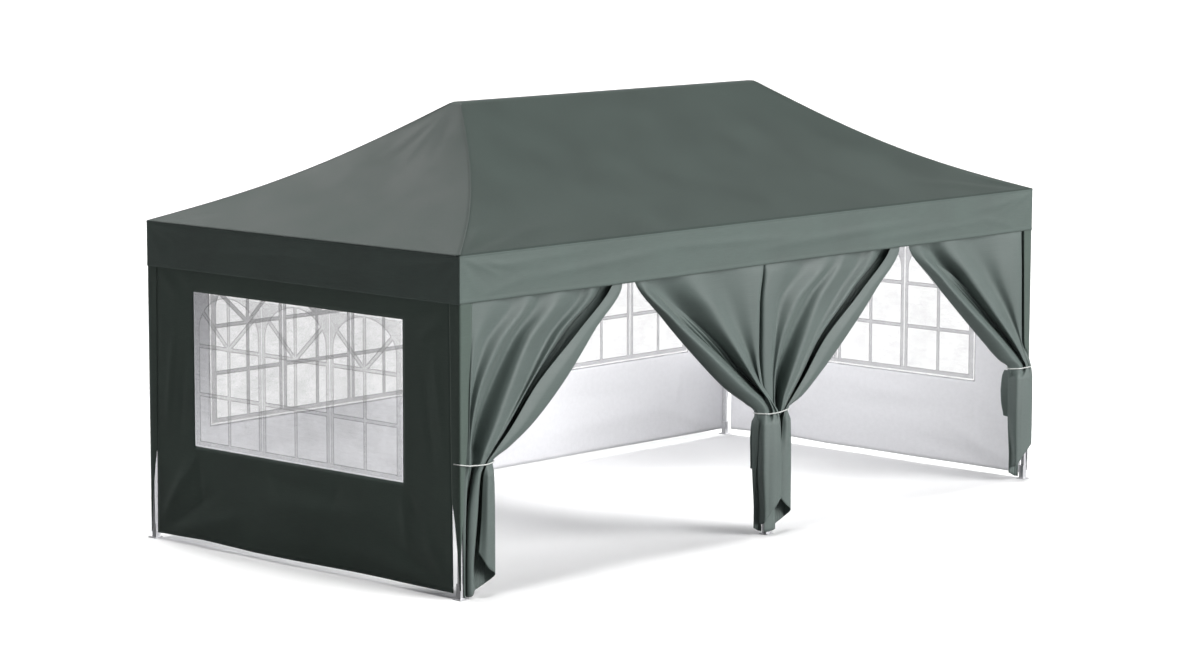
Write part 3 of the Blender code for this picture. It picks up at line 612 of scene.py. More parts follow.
# Folds of an end wall: from, to, width, height and how far in the ends fade
END_FOLDS = [
    ((1.40, 1.90), (1.02, 1.72), 0.022, -0.006), ((1.41, 1.86), (1.10, 1.62), 0.030, 0.006),
    ((-1.39, 1.88), (-0.98, 1.74), 0.024, -0.006), ((-1.40, 1.80), (-1.08, 1.60), 0.030, 0.006),
    ((1.42, 0.08), (1.03, 0.66), 0.040, 0.009), ((1.42, 0.06), (0.72, 0.46), 0.045, -0.008),
    ((1.40, 0.05), (0.40, 0.30), 0.050, 0.007), ((1.00, 0.69), (0.97, 0.22), 0.020, -0.006, 0.45),
    ((0.98, 0.68), (1.20, 0.30), 0.030, 0.005), ((-0.98, 0.68), (-1.22, 0.26), 0.036, -0.009),
    ((-0.96, 0.67), (-1.02, 0.20), 0.030, 0.007), ((-1.42, 0.06), (-0.96, 0.62), 0.045, 0.009),
    ((-1.41, 0.05), (-0.62, 0.40), 0.050, -0.008), ((-1.41, 0.05), (-0.20, 0.24), 0.055, 0.007),
    ((-1.24, 1.68), (-1.36, 0.82), 0.024, 0.005, 0.35), ((-1.16, 1.50), (-1.27, 0.70), 0.024, -0.004, 0.35),
    ((1.22, 1.55), (1.33, 0.70), 0.026, 0.005, 0.35), ((1.12, 1.30), (1.20, 0.62), 0.024, -0.004, 0.35),
    ((0.70, 0.60), (-0.55, 0.50), 0.060, -0.006, 0.3), ((0.50, 0.38), (-0.90, 0.44), 0.060, 0.006, 0.3),
    ((0.35, 0.66), (0.15, 0.42), 0.030, 0.004), ((-0.40, 0.66), (-0.30, 0.40), 0.030, -0.004),
]
BACK_FOLDS = [
    ((1.42, 0.08), (1.00, 0.62), 0.040, 0.008), ((1.42, 0.06), (0.60, 0.42), 0.050, -0.007),
    ((-1.42, 0.06), (-0.98, 0.62), 0.040, 0.008), ((-1.42, 0.06), (-0.55, 0.36), 0.050, -0.007),
    ((1.40, 1.90), (1.02, 1.73), 0.024, -0.005), ((-1.40, 1.90), (-1.02, 1.73), 0.024, -0.005),
    ((0.98, 0.68), (0.90, 0.24), 0.028, -0.005), ((-0.98, 0.68), (-0.88, 0.22), 0.028, -0.005),
    ((0.55, 0.50), (-0.60, 0.44), 0.060, 0.005, 0.3), ((0.80, 0.22), (-0.90, 0.30), 0.060, -0.005, 0.3),
]


def spaced(stops, step):
    """Numbers through all the stops, no further apart than step."""
    found = []
    for a, b in zip(stops, stops[1:]):
        n = max(1, int(math.ceil((b - a) / step)))
        found += [a + (b - a) * i / n for i in range(n)]
    return np.array(found + [stops[-1]])


def wall_folds(a, z, lines, low_waves, even_waves):
    """Relief of a wall, outwards. a runs from an end wall's rear edge (+) to its front edge (-)."""
    low = smooth((0.75 - z) / 0.7)
    return creases(a, z, lines) + low * waves(a, z, low_waves) + waves(a, z, even_waves)


def window_wall(tag, x, y, turn, low, top, look, place, side=1):
    """low and top are how far the wall reaches left and right of its window's middle. place is how far
    the window lies across and up from its usual place. side is -1 where the folds are mirrored."""
    origin = np.array((x, y, 0.0))
    across = np.array((math.cos(turn), math.sin(turn), 0.0))    # to its right, seen from outside
    out = np.array((math.sin(turn), -math.cos(turn), 0.0))
    shift = place[0]
    w_low, w_high = WINDOW_LOW + place[1], WINDOW_HIGH + place[1]
    us = spaced([-1.0, -CUT, CUT, 1.0], 0.018)
    zs = spaced([0.0, 0.028, 0.034, w_low, w_high, WALL_TOP], 0.030)
    left, right = np.abs(us + CUT).argmin(), np.abs(us - CUT).argmin()
    bottom, head = np.abs(zs - w_low).argmin(), np.abs(zs - w_high).argmin()
    u, z = grid(us, zs)
    share = (z - WALL_FOOT) / (WALL_TOP - WALL_FOOT)
    reach_l = low[0] + (top[0] - low[0]) * share
    reach_r = low[1] + (top[1] - low[1]) * share
    outer_l = -(WINDOW_HALF + (-u - CUT) / (1 - CUT) * (reach_l + shift - WINDOW_HALF))
    outer_r = WINDOW_HALF + (u - CUT) / (1 - CUT) * (reach_r - shift - WINDOW_HALF)
    a = np.where(u < -CUT, outer_l, np.where(u > CUT, outer_r, u / CUT * WINDOW_HALF)) + shift
    hem, *folds = look
    lift = np.interp(side * a, *zip(*hem)) * (1 - z / WALL_TOP) ** 3
    zz = z + lift * (1 - smooth(z / w_low))
    gap_a = np.maximum(np.abs(a - shift) - WINDOW_HALF, 0)
    gap_z = np.maximum(np.maximum(w_low - zz, zz - w_high), 0)
    away = smooth(np.hypot(gap_a, gap_z) / 0.10)
    hang = smooth((EAVE_LOW + 0.02 - zz) / 0.08)
    edge = np.minimum(a + reach_l, reach_r - a)
    relief = wall_folds(side * a, zz, *folds) * away * hang * (0.3 + 0.7 * smooth(edge / 0.05))
    relief = np.minimum(relief, FOLD_ROOM)
    seam = -0.0008 * np.exp(-((z - WALL_HEM) / 0.0025) ** 2) + 0.0006 * (z < 0.029)
    welt = 0.0007 * np.exp(-((np.hypot(gap_a, gap_z) - 0.010) / 0.006) ** 2)
    mid = -CLOTH / 2
    p = origin + across * a[..., None] + out * (mid + (relief + seam + welt))[..., None]
    p[..., 2] = zz
    wall = sheet_object("wall_" + tag + "_cloth", p, np.stack([a, zz], -1), WALL, COATING, toward=out,
                        dropped=lambda i, k: left <= i < right and bottom <= k < head)
    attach(wall, "root")
    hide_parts("wall_" + tag)

    wide = WINDOW_HALF + FILM_MARGIN
    fa, fz = grid(shift + np.linspace(-wide, wide, 70),
                  np.linspace(w_low - FILM_MARGIN, w_high + FILM_MARGIN, 42))
    ripple = waves(fa, fz, [(9.0, 4.0, 0.3, 0.00025), (21.0, -11.0, 1.9, 0.00015), (5.0, 17.0, 0.8, 0.0002)])
    fp = origin + across * fa[..., None] + out * (mid - FILM_IN + ripple)[..., None]
    fp[..., 2] = fz
    film = sheet_object("window_%s_film" % tag, fp, np.stack([fa, fz], -1),
                        FILM_CLEAR if tag == "left_end" else FILM, thick=FILM_THICK, toward=out)
    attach(film, "root")
    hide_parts("window_" + tag)
    prints = []
    for key, rings, mat in zip(("bars", "lines"), (bar_rings(BAR_CORE), line_rings()), PRINTS[tag]):
        c = lattice("lattice_%s_%s" % (tag, key), rings, place, mat)
        c.rotation_euler = (math.pi / 2, 0, turn)
        c.location = Vector(origin) + Vector(out) * (mid + PRINT_OUT)
        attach(c, "root")
        prints.append(c)
    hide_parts("lattice_" + tag)
    return wall, film, prints


def arch_point(r, t):
    """A point of an arch's edge, from the middle of its upper transom."""
    return (r * math.cos(t), SPRING - ROW_2 + (ARCH_RISE - LIGHT_HALF + r) * math.sin(t))


def arm_meets(r, shift):
    """Where a fan arm's edge, shift above the arm's middle line, meets the arch."""
    reach = r * math.tan(ARM_SLANT)
    rise = ARCH_RISE - LIGHT_HALF + r
    lean = (SPRING - ROW_2 - shift / math.cos(ARM_SLANT)) / math.hypot(reach, rise)
    return math.acos(lean) - math.atan2(rise, reach)


def light_rings(r, half):
    """Openings on one side of a light's mullion: two panes, the side of the fan and its top."""
    low = WINDOW_LOW + EDGE_LOW + LIGHT_HALF - r
    rings = [[(half, z0), (r, z0), (r, z1), (half, z1)]
             for z0, z1 in ((low, ROW_1 - half), (ROW_1 + half, ROW_2 - half))]
    w = half * ARM_WIDER
    tan, cos = math.tan(ARM_SLANT), math.cos(ARM_SLANT)
    side = [((half + w / cos) / tan, half), (r, half)]
    side += [arch_point(r, t) for t in np.linspace(0, arm_meets(r, -w), 10)]
    top = [(half, half * tan + w / cos)]
    top += [arch_point(r, t) for t in np.linspace(arm_meets(r, w), math.acos(half / r), 16)]
    rings += [[(x, y + ROW_2) for x, y in ring] for ring in (side, top)]
    return rings


PRINTS = {
    "left_end": (PRINT_SHEER, PRINT_LINE), "right_end": (PRINT_PALE, PRINT_GREY),
    "back_left": (PRINT_PALE_PAINTED_SHADE, PRINT_GREY_PAINTED_SHADE), "back_right": (PRINT_PALE, PRINT_GREY),
}
BAR_CORE = 0.016        # the pale middle of a bar
BAR_WHOLE = 0.030       # with its grey outlines
PRINT_IN = 0.011        # clear film left between the print and the cloth
PILLAR_GAP = 0.006      # half the clear line between two lights
PILLAR_LINE = 0.003     # and the outline on each side of it


def opening_rings(bars):
    """Every pane of the window, for bars this wide."""
    r = LIGHT_HALF - (bars - LIGHT_BAR) / 2
    rings = []
    for i in range(LIGHTS):
        c = -WINDOW_HALF + EDGE + LIGHT_W * (i + 0.5)
        for s in (-1, 1):
            rings += [[(c + s * x, z) for x, z in ring] for ring in light_rings(r, bars / 2)]
    return rings


def box_ring(x0, z0, x1, z1):
    return [(x0, z0), (x1, z0), (x1, z1), (x0, z1)]


def pillar_rings(grown):
    half = PILLAR_GAP + grown
    low, high = WINDOW_LOW + EDGE_LOW - grown, WINDOW_HIGH - EDGE_HIGH + grown
    return [box_ring(x - half, low, x + half, high)
            for x in (-WINDOW_HALF + EDGE + LIGHT_W * i for i in range(1, LIGHTS))]


def bar_rings(bars):
    """The pale print: a sheet of ink with the panes, their outlines and the clear lines left out."""
    w = WINDOW_HALF - PRINT_IN
    sheet = box_ring(-w, WINDOW_LOW + PRINT_IN, w, WINDOW_HIGH - PRINT_IN)
    return [sheet] + opening_rings(bars) + pillar_rings(PILLAR_LINE)


def line_rings():
    """The grey outlines round each pane and each clear line."""
    return opening_rings(BAR_CORE) + opening_rings(BAR_WHOLE) + pillar_rings(PILLAR_LINE) + pillar_rings(0.0)


def closed_line(c, points):
    """A closed line of straight pieces in a curve."""
    s = c.splines.new("POLY")
    s.points.add(len(points) - 1)
    for q, (x, y, z) in zip(s.points, points):
        q.co = (x, y, z, 1)
    s.use_cyclic_u = True
    return s


def lattice(name, rings, place, mat):
    """Print on the film: a 2D curve filled between its rings."""
    c = bpy.data.curves.new(name, "CURVE")
    c.dimensions = "2D"
    c.fill_mode = "BOTH"
    c.extrude = 0.0002
    for ring in rings:
        closed_line(c, [(x + place[0], y + place[1], 0) for x, y in ring])
    c.materials.append(mat)
    return add(name, c)


BAY = LEG_X / 2
TO_MID = BAY - 0.0012
TO_CORNER = HX - WALL_OUT - BAY - 0.001
END_X = HX - WALL_OUT
END_Y = HY - WALL_OUT
END_REACH = ((1.430, 1.430), (1.405, 1.405))
# How a wall hangs: the height of its hem at places along it, its folds, the waves that grow towards
# the ground and the waves all over
END_LOOK = ([(-1.44, 0.036), (-0.75, 0.041), (-0.28, 0.041), (0.45, 0.040), (0.95, 0.054), (1.44, 0.041)],
            END_FOLDS, [(2.4, 1.0, 0.3, 0.006), (5.6, -2.0, 1.4, 0.003)],
            [(3.1, 2.2, 0.2, 0.0012), (7.0, -3.5, 2.2, 0.0008)])
BACK_LOOK = ([(-1.5, 0.041), (1.5, 0.041)], BACK_FOLDS, [(2.0, 1.3, 0.9, 0.004), (4.6, -2.0, 2.4, 0.002)],
             [(2.7, 2.0, 0.5, 0.001), (6.4, -3.0, 1.2, 0.0006)])
BACK_PLACE = (-0.041, 0.023)
# The left end wall, seen from outside, has its rear edge on the left, so its folds are mirrored
for tag, *how in (
        ("left_end", -END_X, 0.0, -math.pi / 2, *END_REACH, END_LOOK, (-0.022, 0.0), -1),
        ("right_end", END_X, 0.0, math.pi / 2, *END_REACH, END_LOOK, (0.012, 0.0)),
        ("back_left", -BAY, END_Y, math.pi, *[(TO_MID, TO_CORNER)] * 2, BACK_LOOK, BACK_PLACE),
        ("back_right", BAY, END_Y, math.pi, *[(TO_CORNER, TO_MID)] * 2, BACK_LOOK, BACK_PLACE)):
    window_wall(tag, *how)


# Corner flaps: how far each wing reaches from its corner, at heights up the leg
END_WING = ((0.06, 0.003), (0.30, 0.022), (0.50, 0.046), (0.64, 0.072), (1.10, 0.080), (2.12, 0.093))
FRONT_WING = {
    "front_left": ((0.06, 0.0), (0.285, 0.002), (0.50, 0.022), (0.77, 0.044), (0.86, 0.060), (0.95, 0.070),
                   (1.30, 0.090), (1.60, 0.101), (2.12, 0.111)),
    "front_right": ((0.06, 0.0), (0.285, 0.002), (0.60, 0.020), (0.85, 0.028), (0.95, 0.046), (1.05, 0.066),
                    (1.35, 0.077), (1.60, 0.085), (1.87, 0.095), (2.12, 0.098)),
}
FLAP_X = HX - 0.0036
FLAP_Y = HY - 0.0042
FLAP_BACK_Y = END_Y - CLOTH - 0.0006
FLAP_ROUND = 0.003
FLAP_FOOT = 0.06


def corner_flap(tag, sx, sy):
    """The long side's cloth carried round the corner leg, tapering to a point near the ground."""
    z = np.concatenate([[WALL_TOP], np.linspace(1.95, FLAP_FOOT, 70)])
    py = FLAP_Y if tag in FRONT_WING else FLAP_BACK_Y
    wing = np.interp(z, *zip(*END_WING))
    cols, uvs = [], []
    if tag in FRONT_WING:
        front = np.interp(z, *zip(*FRONT_WING[tag]))
        for w in np.linspace(1, 0, 9)[:-1]:
            bend = 0.0022 * math.sin(math.pi * w) * np.sin(z * 2.7 + 1.0) * (z < 1.8)
            cols.append(np.stack([sx * (FLAP_X - FLAP_ROUND - front * w), sy * (py + bend), z], -1))
            uvs.append(np.stack([front * w, z], -1))
    for w in np.linspace(0, 1, 9):
        bend = 0.0014 * math.sin(math.pi * w) * np.sin(z * 3.1 + sx) * (z < 1.8)
        cols.append(np.stack([sx * (FLAP_X + bend), sy * (py - FLAP_ROUND - wing * w), z], -1))
        uvs.append(np.stack([-wing * w, z], -1))
    o = sheet_object("corner_flap_%s_cloth" % tag, np.stack(cols), np.stack(uvs), WALL, COATING,
                     toward=(sx, sy * 0.3, 0))
    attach(o, "root")
    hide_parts("corner_flap_" + tag)
    return o


for sy, depth_tag in ((-1, "front"), (1, "back")):
    for sx, side_tag in ((-1, "left"), (1, "right")):
        corner_tag = depth_tag + "_" + side_tag
        corner_flap(corner_tag, sx, sy)


# Door curtains. Each is described by its fold lines: where a fold runs at the heights ROWS, in
# millimetres from its leg, and how far it stands out there. The places are read off the
# photograph on the wall's plane, so a fold that stands out is set back along the line of
# sight by lean. hem is the height of each fold's end, and pleats the depths of the tucks
# after a fold.
ROWS = (2.12, 1.87, 1.60, 1.30, 1.05, 0.93, 0.85, 0.77, 0.50, 0.20)
CURTAINS = {
    "bay_left_outer": {"leg": -LEG_X, "dir": 1, "lean": 1.03, "folds": [
        ((80, 80, 68, 56, 44, 37, 30, 14, 3, 8), (-3, -3, -3, -3, -2, 1, 2, 1, 1, 1)),
        ((240, 240, 105, 72, 66, 62, 60, 44, 30, 20), (0, 1, 9, 10, 10, 12, 16, 8, 6, 6)),
        ((440, 455, 205, 90, 54, 46, 48, 48, 16, 22), (0, -18, -28, -22, -6, 1, 5, -20, -26, -22)),
        ((600, 600, 335, 145, 80, 70, 72, 64, 20, 23), (0, 1, 12, 14, 14, 12, 8, -26, -46, -24)),
        ((740, 705, 455, 245, 118, 92, 88, 78, 28, 24), (0, -22, -46, -72, -90, -80, -44, -60, -64, -42)),
        ((900, 880, 600, 410, 270, 200, 166, 110, 58, 42), (0, 1, 24, 28, 28, 28, 26, 12, 8, 8)),
        ((1100, 1090, 800, 570, 360, 255, 188, 146, 116, 78), (0, -28, -46, -6, 20, 22, 24, 28, 28, 26)),
        ((1210, 1200, 885, 600, 385, 270, 200, 160, 130, 92), (0, -4, -10, 16, 24, 22, 20, 24, 24, 24)),
        ((1270, 1265, 960, 615, 388, 272, 204, 170, 146, 112),
         (0, -54, -105, -120, -105, -70, -30, -46, -60, -60)),
        ((1360, 1370, 1130, 800, 520, 360, 240, 218, 206, 196),
         (0, -32, -66, -76, -66, -46, -26, -56, -70, -68)),
        ((1460, 1476, 1220, 934, 630, 425, 270, 282, 290, 290), (0, -6, 4, 8, 8, 8, 6, 2, 5, 4)),
        ((1480, 1460, 1160, 820, 545, 370, 242, 238, 230, 222), (0, 0, 26, 42, 46, 40, 28, 56, 66, 64)),
        ((1500, 1380, 1055, 670, 435, 304, 222, 188, 168, 132), (0, -2, 16, 28, 34, 32, 28, 32, 36, 35)),
    ], "hem": (10, 10, 10, 11, 12, 14, 17, 21, 30, 56, 118, 200, 290),
        "pleats": {8: (55, 55, 45)}},
    "bay_left_inner": {"leg": 0.0, "dir": -1, "lean": 1.19, "folds": [
        ((72, 96, 142, 143, 110, -14, -87, -112, -124, -124), (-5, -29, -55, -55, -39, 12, 26, 38, 48, 50)),
        ((60, 76, 115, 118, 74, -26, -95, -118, -130, -130), (0, 2, 9, 10, 14, 24, 34, 46, 55, 57)),
        ((240, 240, 210, 160, 94, -16, -76, -100, -106, -106), (0, 1, 7, 9, 18, 32, 38, 58, 67, 67)),
        ((560, 520, 410, 240, 80, -24, -62, -80, -84, -84), (0, -16, -28, -24, 8, 20, 28, 56, 68, 68)),
        ((820, 820, 600, 340, 120, 2, -41, -50, -50, -46), (0, 1, 14, 20, 28, 34, 34, 54, 66, 66)),
        ((1120, 1140, 915, 525, 185, 28, -16, -10, -4, -4), (0, -44, -96, -110, -86, -34, 4, 48, 58, 56)),
        ((1300, 1310, 1010, 600, 265, 90, 40, 58, 62, 44), (0, -4, 24, 34, 36, 32, 26, 40, 44, 42)),
        ((1450, 1380, 1115, 776, 450, 240, 128, 155, 145, 105),
         (0, -20, -38, -40, -30, -14, -4, -24, -26, -24)),
        ((1450, 1330, 1010, 670, 400, 240, 160, 180, 180, 160),
         (0, -18, -40, -48, -50, -48, -42, -44, -46, -44)),
        ((1450, 1310, 940, 560, 300, 190, 120, 120, 120, 110),
         (0, -20, -48, -62, -60, -54, -48, -48, -50, -48)),
        ((1460, 1300, 880, 480, 250, 150, 96, 80, 80, 76), (0, -22, -54, -70, -64, -54, -38, -36, -36, -36)),
    ], "hem": (250, 250, 230, 205, 180, 130, 95, 70, 50, 25, 20),
        "pleats": {7: (30, 50), 8: (55, 55), 9: (45, 40)}},
    "bay_right_inner": {"leg": 0.0, "dir": 1, "lean": 1.19, "folds": [
        ((-86, -94, -134, -136, -104, -46, -26, -36, -46, -46), (-4, -22, -46, -46, -30, -4, 5, 5, 5, 5)),
        ((-44, -46, -80, -80, -60, -20, 4, -4, -8, -8), (0, 2, 7, 8, 8, 9, 10, 8, 8, 8)),
        ((140, 140, 38, 22, 14, 22, 42, 50, 50, 50), (0, 1, 11, 13, 11, 12, 16, 2, 0, 0)),
        ((330, 350, 105, 50, 32, 42, 54, 60, 60, 60), (0, -28, -30, -10, 6, 8, 9, -10, -14, -14)),
        ((580, 600, 285, 105, 50, 50, 62, 72, 70, 70), (0, 1, 16, 17, 15, 16, 16, -20, -26, -26)),
        ((700, 700, 410, 190, 76, 62, 70, 59, 54, 52), (0, -5, -18, -54, -84, -70, -30, -30, -38, -38)),
        ((790, 790, 530, 340, 200, 140, 116, 62, 56, 54), (0, 1, 24, 28, 28, 26, 24, -36, -46, -46)),
        ((1020, 990, 730, 450, 270, 180, 136, 65, 58, 56), (0, -34, -22, 16, 23, 24, 22, -38, -48, -48)),
        ((1150, 1130, 850, 500, 305, 205, 150, 67, 60, 58), (0, -8, 6, 22, 24, 22, 20, -40, -50, -50)),
        ((1210, 1210, 905, 530, 320, 218, 156, 71, 66, 64),
         (0, -54, -105, -110, -65, -20, -10, -50, -60, -60)),
        ((1310, 1310, 1070, 700, 440, 280, 175, 160, 164, 160),
         (0, -32, -66, -68, -54, -34, -28, -54, -64, -64)),
        ((1380, 1415, 1160, 830, 520, 350, 194, 225, 234, 234), (0, -6, 4, 8, 8, 8, 4, 0, 4, 3)),
        ((1400, 1400, 1100, 730, 455, 300, 178, 188, 182, 180), (0, 0, 26, 42, 44, 38, 26, 44, 53, 53)),
        ((1420, 1310, 985, 585, 360, 240, 166, 138, 118, 118), (0, -2, 16, 26, 30, 28, 24, 24, 44, 46)),
    ], "hem": (20, 20, 20, 20, 20, 22, 26, 30, 34, 45, 80, 135, 200, 250),
        "pleats": {9: (55, 55, 50, 35)}},
    "bay_right_outer": {"leg": LEG_X, "dir": -1, "lean": 1.38, "folds": [
        ((56, 54, 50, 46, 36, -15, -50, -68, -72, -70), (-3, -6, -6, -6, -2, 16, 30, 38, 42, 42)),
        ((104, 102, 92, 82, 68, -4, -46, -63, -67, -65), (-1, -16, -34, -34, -20, 12, 30, 40, 44, 44)),
        ((110, 109, 98, 89, 74, 6, -40, -56, -60, -58), (0, 2, 6, 8, 10, 19, 33, 44, 48, 48)),
        ((340, 360, 330, 180, 76, 18, -28, -42, -46, -44), (0, 1, 12, 14, 19, 26, 36, 48, 52, 52)),
        ((660, 700, 520, 270, 98, 34, -8, -14, -16, -14), (0, -19, -26, -18, 12, 22, 28, 48, 56, 56)),
        ((980, 1020, 755, 435, 170, 64, 14, 30, 36, 34), (0, 1, 14, 20, 26, 28, 32, 50, 58, 58)),
        ((1200, 1230, 945, 580, 250, 98, 36, 64, 70, 66), (0, -44, -86, -98, -74, -14, 8, 48, 58, 56)),
        ((1350, 1340, 1050, 660, 320, 185, 100, 130, 136, 124), (0, -6, 24, 34, 36, 34, 28, 38, 44, 44)),
        ((1480, 1456, 1180, 825, 505, 345, 220, 230, 225, 180),
         (0, -20, -38, -40, -30, -14, -6, -34, -36, -32)),
        ((1480, 1410, 1070, 710, 430, 320, 240, 240, 235, 210),
         (0, -18, -40, -48, -50, -48, -42, -44, -46, -46)),
        ((1480, 1390, 990, 590, 330, 230, 160, 150, 150, 140),
         (0, -20, -48, -62, -60, -54, -50, -48, -50, -50)),
        ((1480, 1380, 930, 510, 270, 170, 104, 96, 96, 92), (0, -22, -54, -70, -66, -56, -38, -36, -36, -36)),
    ], "hem": (270, 265, 260, 250, 225, 195, 160, 125, 95, 60, 25, 20),
        "pleats": {8: (30, 50), 9: (55, 55), 10: (40, 35)}},
}
CURTAIN_Y = END_Y - CLOTH / 2
CURTAIN_FLAT = (1.46, 2.09)
# A curtain's rows: 0 at its head, 1 at the tie, 2 at its hem, closest at the tie and the hem's roll
CURTAIN_ROWS = np.concatenate([
    np.linspace(0, 0.16, 5), np.linspace(0.19, 0.9, 60), np.linspace(0.91, 1.0, 16),
    1 + np.linspace(0.012, 0.16, 14), 1 + np.linspace(0.18, 0.955, 34), [1.962, 1.968, 1.974, 2.0]])
PLEAT_Z = (0.0, 0.25, 0.60, 0.80, 0.85, 0.91, 1.00, 1.15, 1.35, 1.60)
PLEAT_PUSH = (0.0, 0.1, 0.9, 1.0, 0.35, -0.45, -0.95, -0.85, -0.45, 0.0)
TIE_PLEAT = 0.0028      # depth of the fine pleats at the tie
HEAD_ROOM = 0.0022      # how far a curtain may stand out behind the valance,
HEAD_OPENS = 0.30       # and how fast that grows below it
SOFT = 0.004            # how softly it is held in there


def hermite(t, a, b, slope_a, slope_b):
    """A cubic from a to b."""
    return ((2 * t ** 3 - 3 * t ** 2 + 1) * a + (t ** 3 - 2 * t ** 2 + t) * slope_a
            + (-2 * t ** 3 + 3 * t ** 2) * b + (t ** 3 - t ** 2) * slope_b)


def knots_at(c, zs):
    """Across and out of every fold line at heights zs (one per line), smoothly between the rows."""
    rows = np.array(ROWS[::-1])
    i = np.clip(np.searchsorted(rows, zs) - 1, 0, len(rows) - 2)
    h = rows[i + 1] - rows[i]
    t = np.clip((zs - rows[i]) / h, 0.0, 1.0)
    found = []
    for kind in (0, 1):
        table = np.array([f[kind] for f in c["folds"]], float)[:, ::-1] / 1000
        d = np.diff(table, axis=1) / np.diff(rows)
        same = d[:, 1:] * d[:, :-1] > 0
        w = np.where(same, 2 * d[:, 1:] * d[:, :-1] / np.where(same, d[:, 1:] + d[:, :-1], 1), 0.0)
        m = np.concatenate([d[:, :1], w, d[:, -1:]], axis=1)
        k = np.arange(len(table))
        found.append(hermite(t, table[k, i], table[k, i + 1], m[k, i] * h, m[k, i + 1] * h))
    return found


def round_curve(p, per):
    """A centripetal curve through the rows of p, with per steps between one and the next."""
    ext = np.vstack([2 * p[0] - p[1], p, 2 * p[-1] - p[-2]])
    gaps = np.maximum(np.linalg.norm(np.diff(ext[:, :2], axis=0), axis=1), 1e-5) ** 0.5
    out = []
    for k in range(len(p) - 1):
        p0, p1, p2, p3 = ext[k:k + 4]
        d01, d12, d23 = gaps[k:k + 3]
        m1 = (p2 - p1) + d12 * ((p1 - p0) / d01 - (p2 - p0) / (d01 + d12))
        m2 = (p2 - p1) + d12 * ((p3 - p2) / d23 - (p3 - p1) / (d12 + d23))
        out += [hermite(i / per, p1, p2, m1, m2) for i in range(per)]
    return np.array(out + [p[-1]])


def with_pleats(c, knots):
    """Adds the tucks hidden inside the bundle, which open out above it. They hold the cloth's width."""
    found = []
    for i, q in enumerate(knots):
        found.append(q)
        tips = c["pleats"].get(i, ())
        for k, depth in enumerate(tips):
            for part, push in ((0.5, 1.0), (1.0, 0.0)):
                if k == len(tips) - 1 and push == 0.0:
                    continue
                p = q + (knots[i + 1] - q) * (k + part) / len(tips)
                grown = np.interp(p[2], PLEAT_Z, PLEAT_PUSH)
                found.append(p + np.array((0.0, push * grown * depth / 1000, 0.0)))
    return np.array(found)


def curtain_row(c, v, per=12):
    """One row of a curtain. v runs 0 to 1 from its head to the tie, and 1 to 2 to the hem."""
    hem = np.array(c["hem"]) / 1000
    if v <= 1.0:
        z = np.full(len(hem), WALL_TOP + (TIE_Z - WALL_TOP) * v)
    else:
        z = TIE_Z + (hem - TIE_Z) * (v - 1)
    seen, out = knots_at(c, z)
    across = seen - c["dir"] * c["lean"] * out
    row = round_curve(with_pleats(c, np.stack([across, out, z], -1)), per)
    # fine pleats drawn in at the tie
    s = np.linspace(0, 1, len(row))
    near = math.exp(-((row[0, 2] - TIE_Z) / (0.10 if v <= 1 else 0.05)) ** 2)
    row[:, 1] += near * TIE_PLEAT * np.sin(s * 88.0 + c["leg"]) * np.sin(math.pi * s) ** 0.3
    # and held in by the valance at its head
    room = HEAD_ROOM + HEAD_OPENS * np.maximum(EAVE_LOW - 0.012 - row[:, 2], 0.0)
    over = (row[:, 1] - room) / SOFT
    held = room - SOFT * np.log1p(np.exp(np.clip(-over, -30, 30)))
    row[:, 1] = np.where(over > -30, held, row[:, 1])
    # in the tent's own places
    return np.stack([c["leg"] + c["dir"] * row[:, 0], -(CURTAIN_Y + row[:, 1]), row[:, 2]], -1)


def make_curtain(tag):
    p = np.stack([curtain_row(CURTAINS[tag], v) for v in CURTAIN_ROWS], 1)
    run = np.linspace(0, CURTAIN_FLAT[0], len(p))
    uv = np.stack([np.broadcast_to(run[:, None], p.shape[:2]), p[..., 2]], -1)
    o = sheet_object("curtain_%s_cloth" % tag, p, uv, CURTAIN, toward=(0, -1, 0))
    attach(o, "root")
    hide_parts("curtain_" + tag)
    return o


curtains = {tag: make_curtain(tag) for tag in CURTAINS}
CORNER_TOP = 0.83


def free_corner(name, lean, edge, inner, foot, back):
    """A corner of a curtain's free edge that hangs behind the bundle, as far as foot. Its outer edge
    is set back, and moved across by lean, so that it keeps its place along the line of sight."""
    s, t = grid(np.linspace(0, 1, 14), np.linspace(0, 1, 40))      # from its outer edge in, and down
    z_out, z_in = (CORNER_TOP + (low - CORNER_TOP) * t for low in foot)
    z = z_out * (1 - s) + z_in * s
    x_out = np.interp(-z_out, [-e[1] for e in edge], [e[0] for e in edge]) + lean * back
    x = x_out * (1 - s) + inner * s
    curl = 0.010 * (1 - s) ** 2 * smooth((t - 0.75) / 0.25) - 0.006 * (1 - s) * np.sin(t * 5.0)
    y = -(CURTAIN_Y - (0.020 + back) * (1 - s) + curl)
    o = sheet_object(name, np.stack([x, y, z], -1), np.stack([s * 0.11, z], -1), CURTAIN, toward=(0, -1, 0))
    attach(o, "root")
    return o


corners = [
    free_corner("free_corner_mid", CURTAINS["bay_left_inner"]["lean"],
                [(-0.128, 0.83), (-0.162, 0.79), (-0.176, 0.68), (-0.182, 0.56), (-0.196, 0.47)],
                -0.07, (0.470, 0.445), 0.050),
    free_corner("free_corner_right", CURTAINS["bay_right_outer"]["lean"],
                [(2.715, 0.83), (2.694, 0.79), (2.680, 0.68), (2.678, 0.60), (2.690, 0.49)],
                2.83, (0.492, 0.470), 0.075),
]


# Ties: cord drawn round each leg and its gathered cloth
def hull(points):
    """The outline round points in the plane."""
    points = sorted(set(points))

    def half(row):
        out = []
        for p in row:
            while len(out) > 1 and ((out[-1][0] - out[-2][0]) * (p[1] - out[-2][1])
                                    - (out[-1][1] - out[-2][1]) * (p[0] - out[-2][0])) <= 0:
                out.pop()
            out.append(p)
        return out[:-1]
    return half(points) + half(points[::-1])


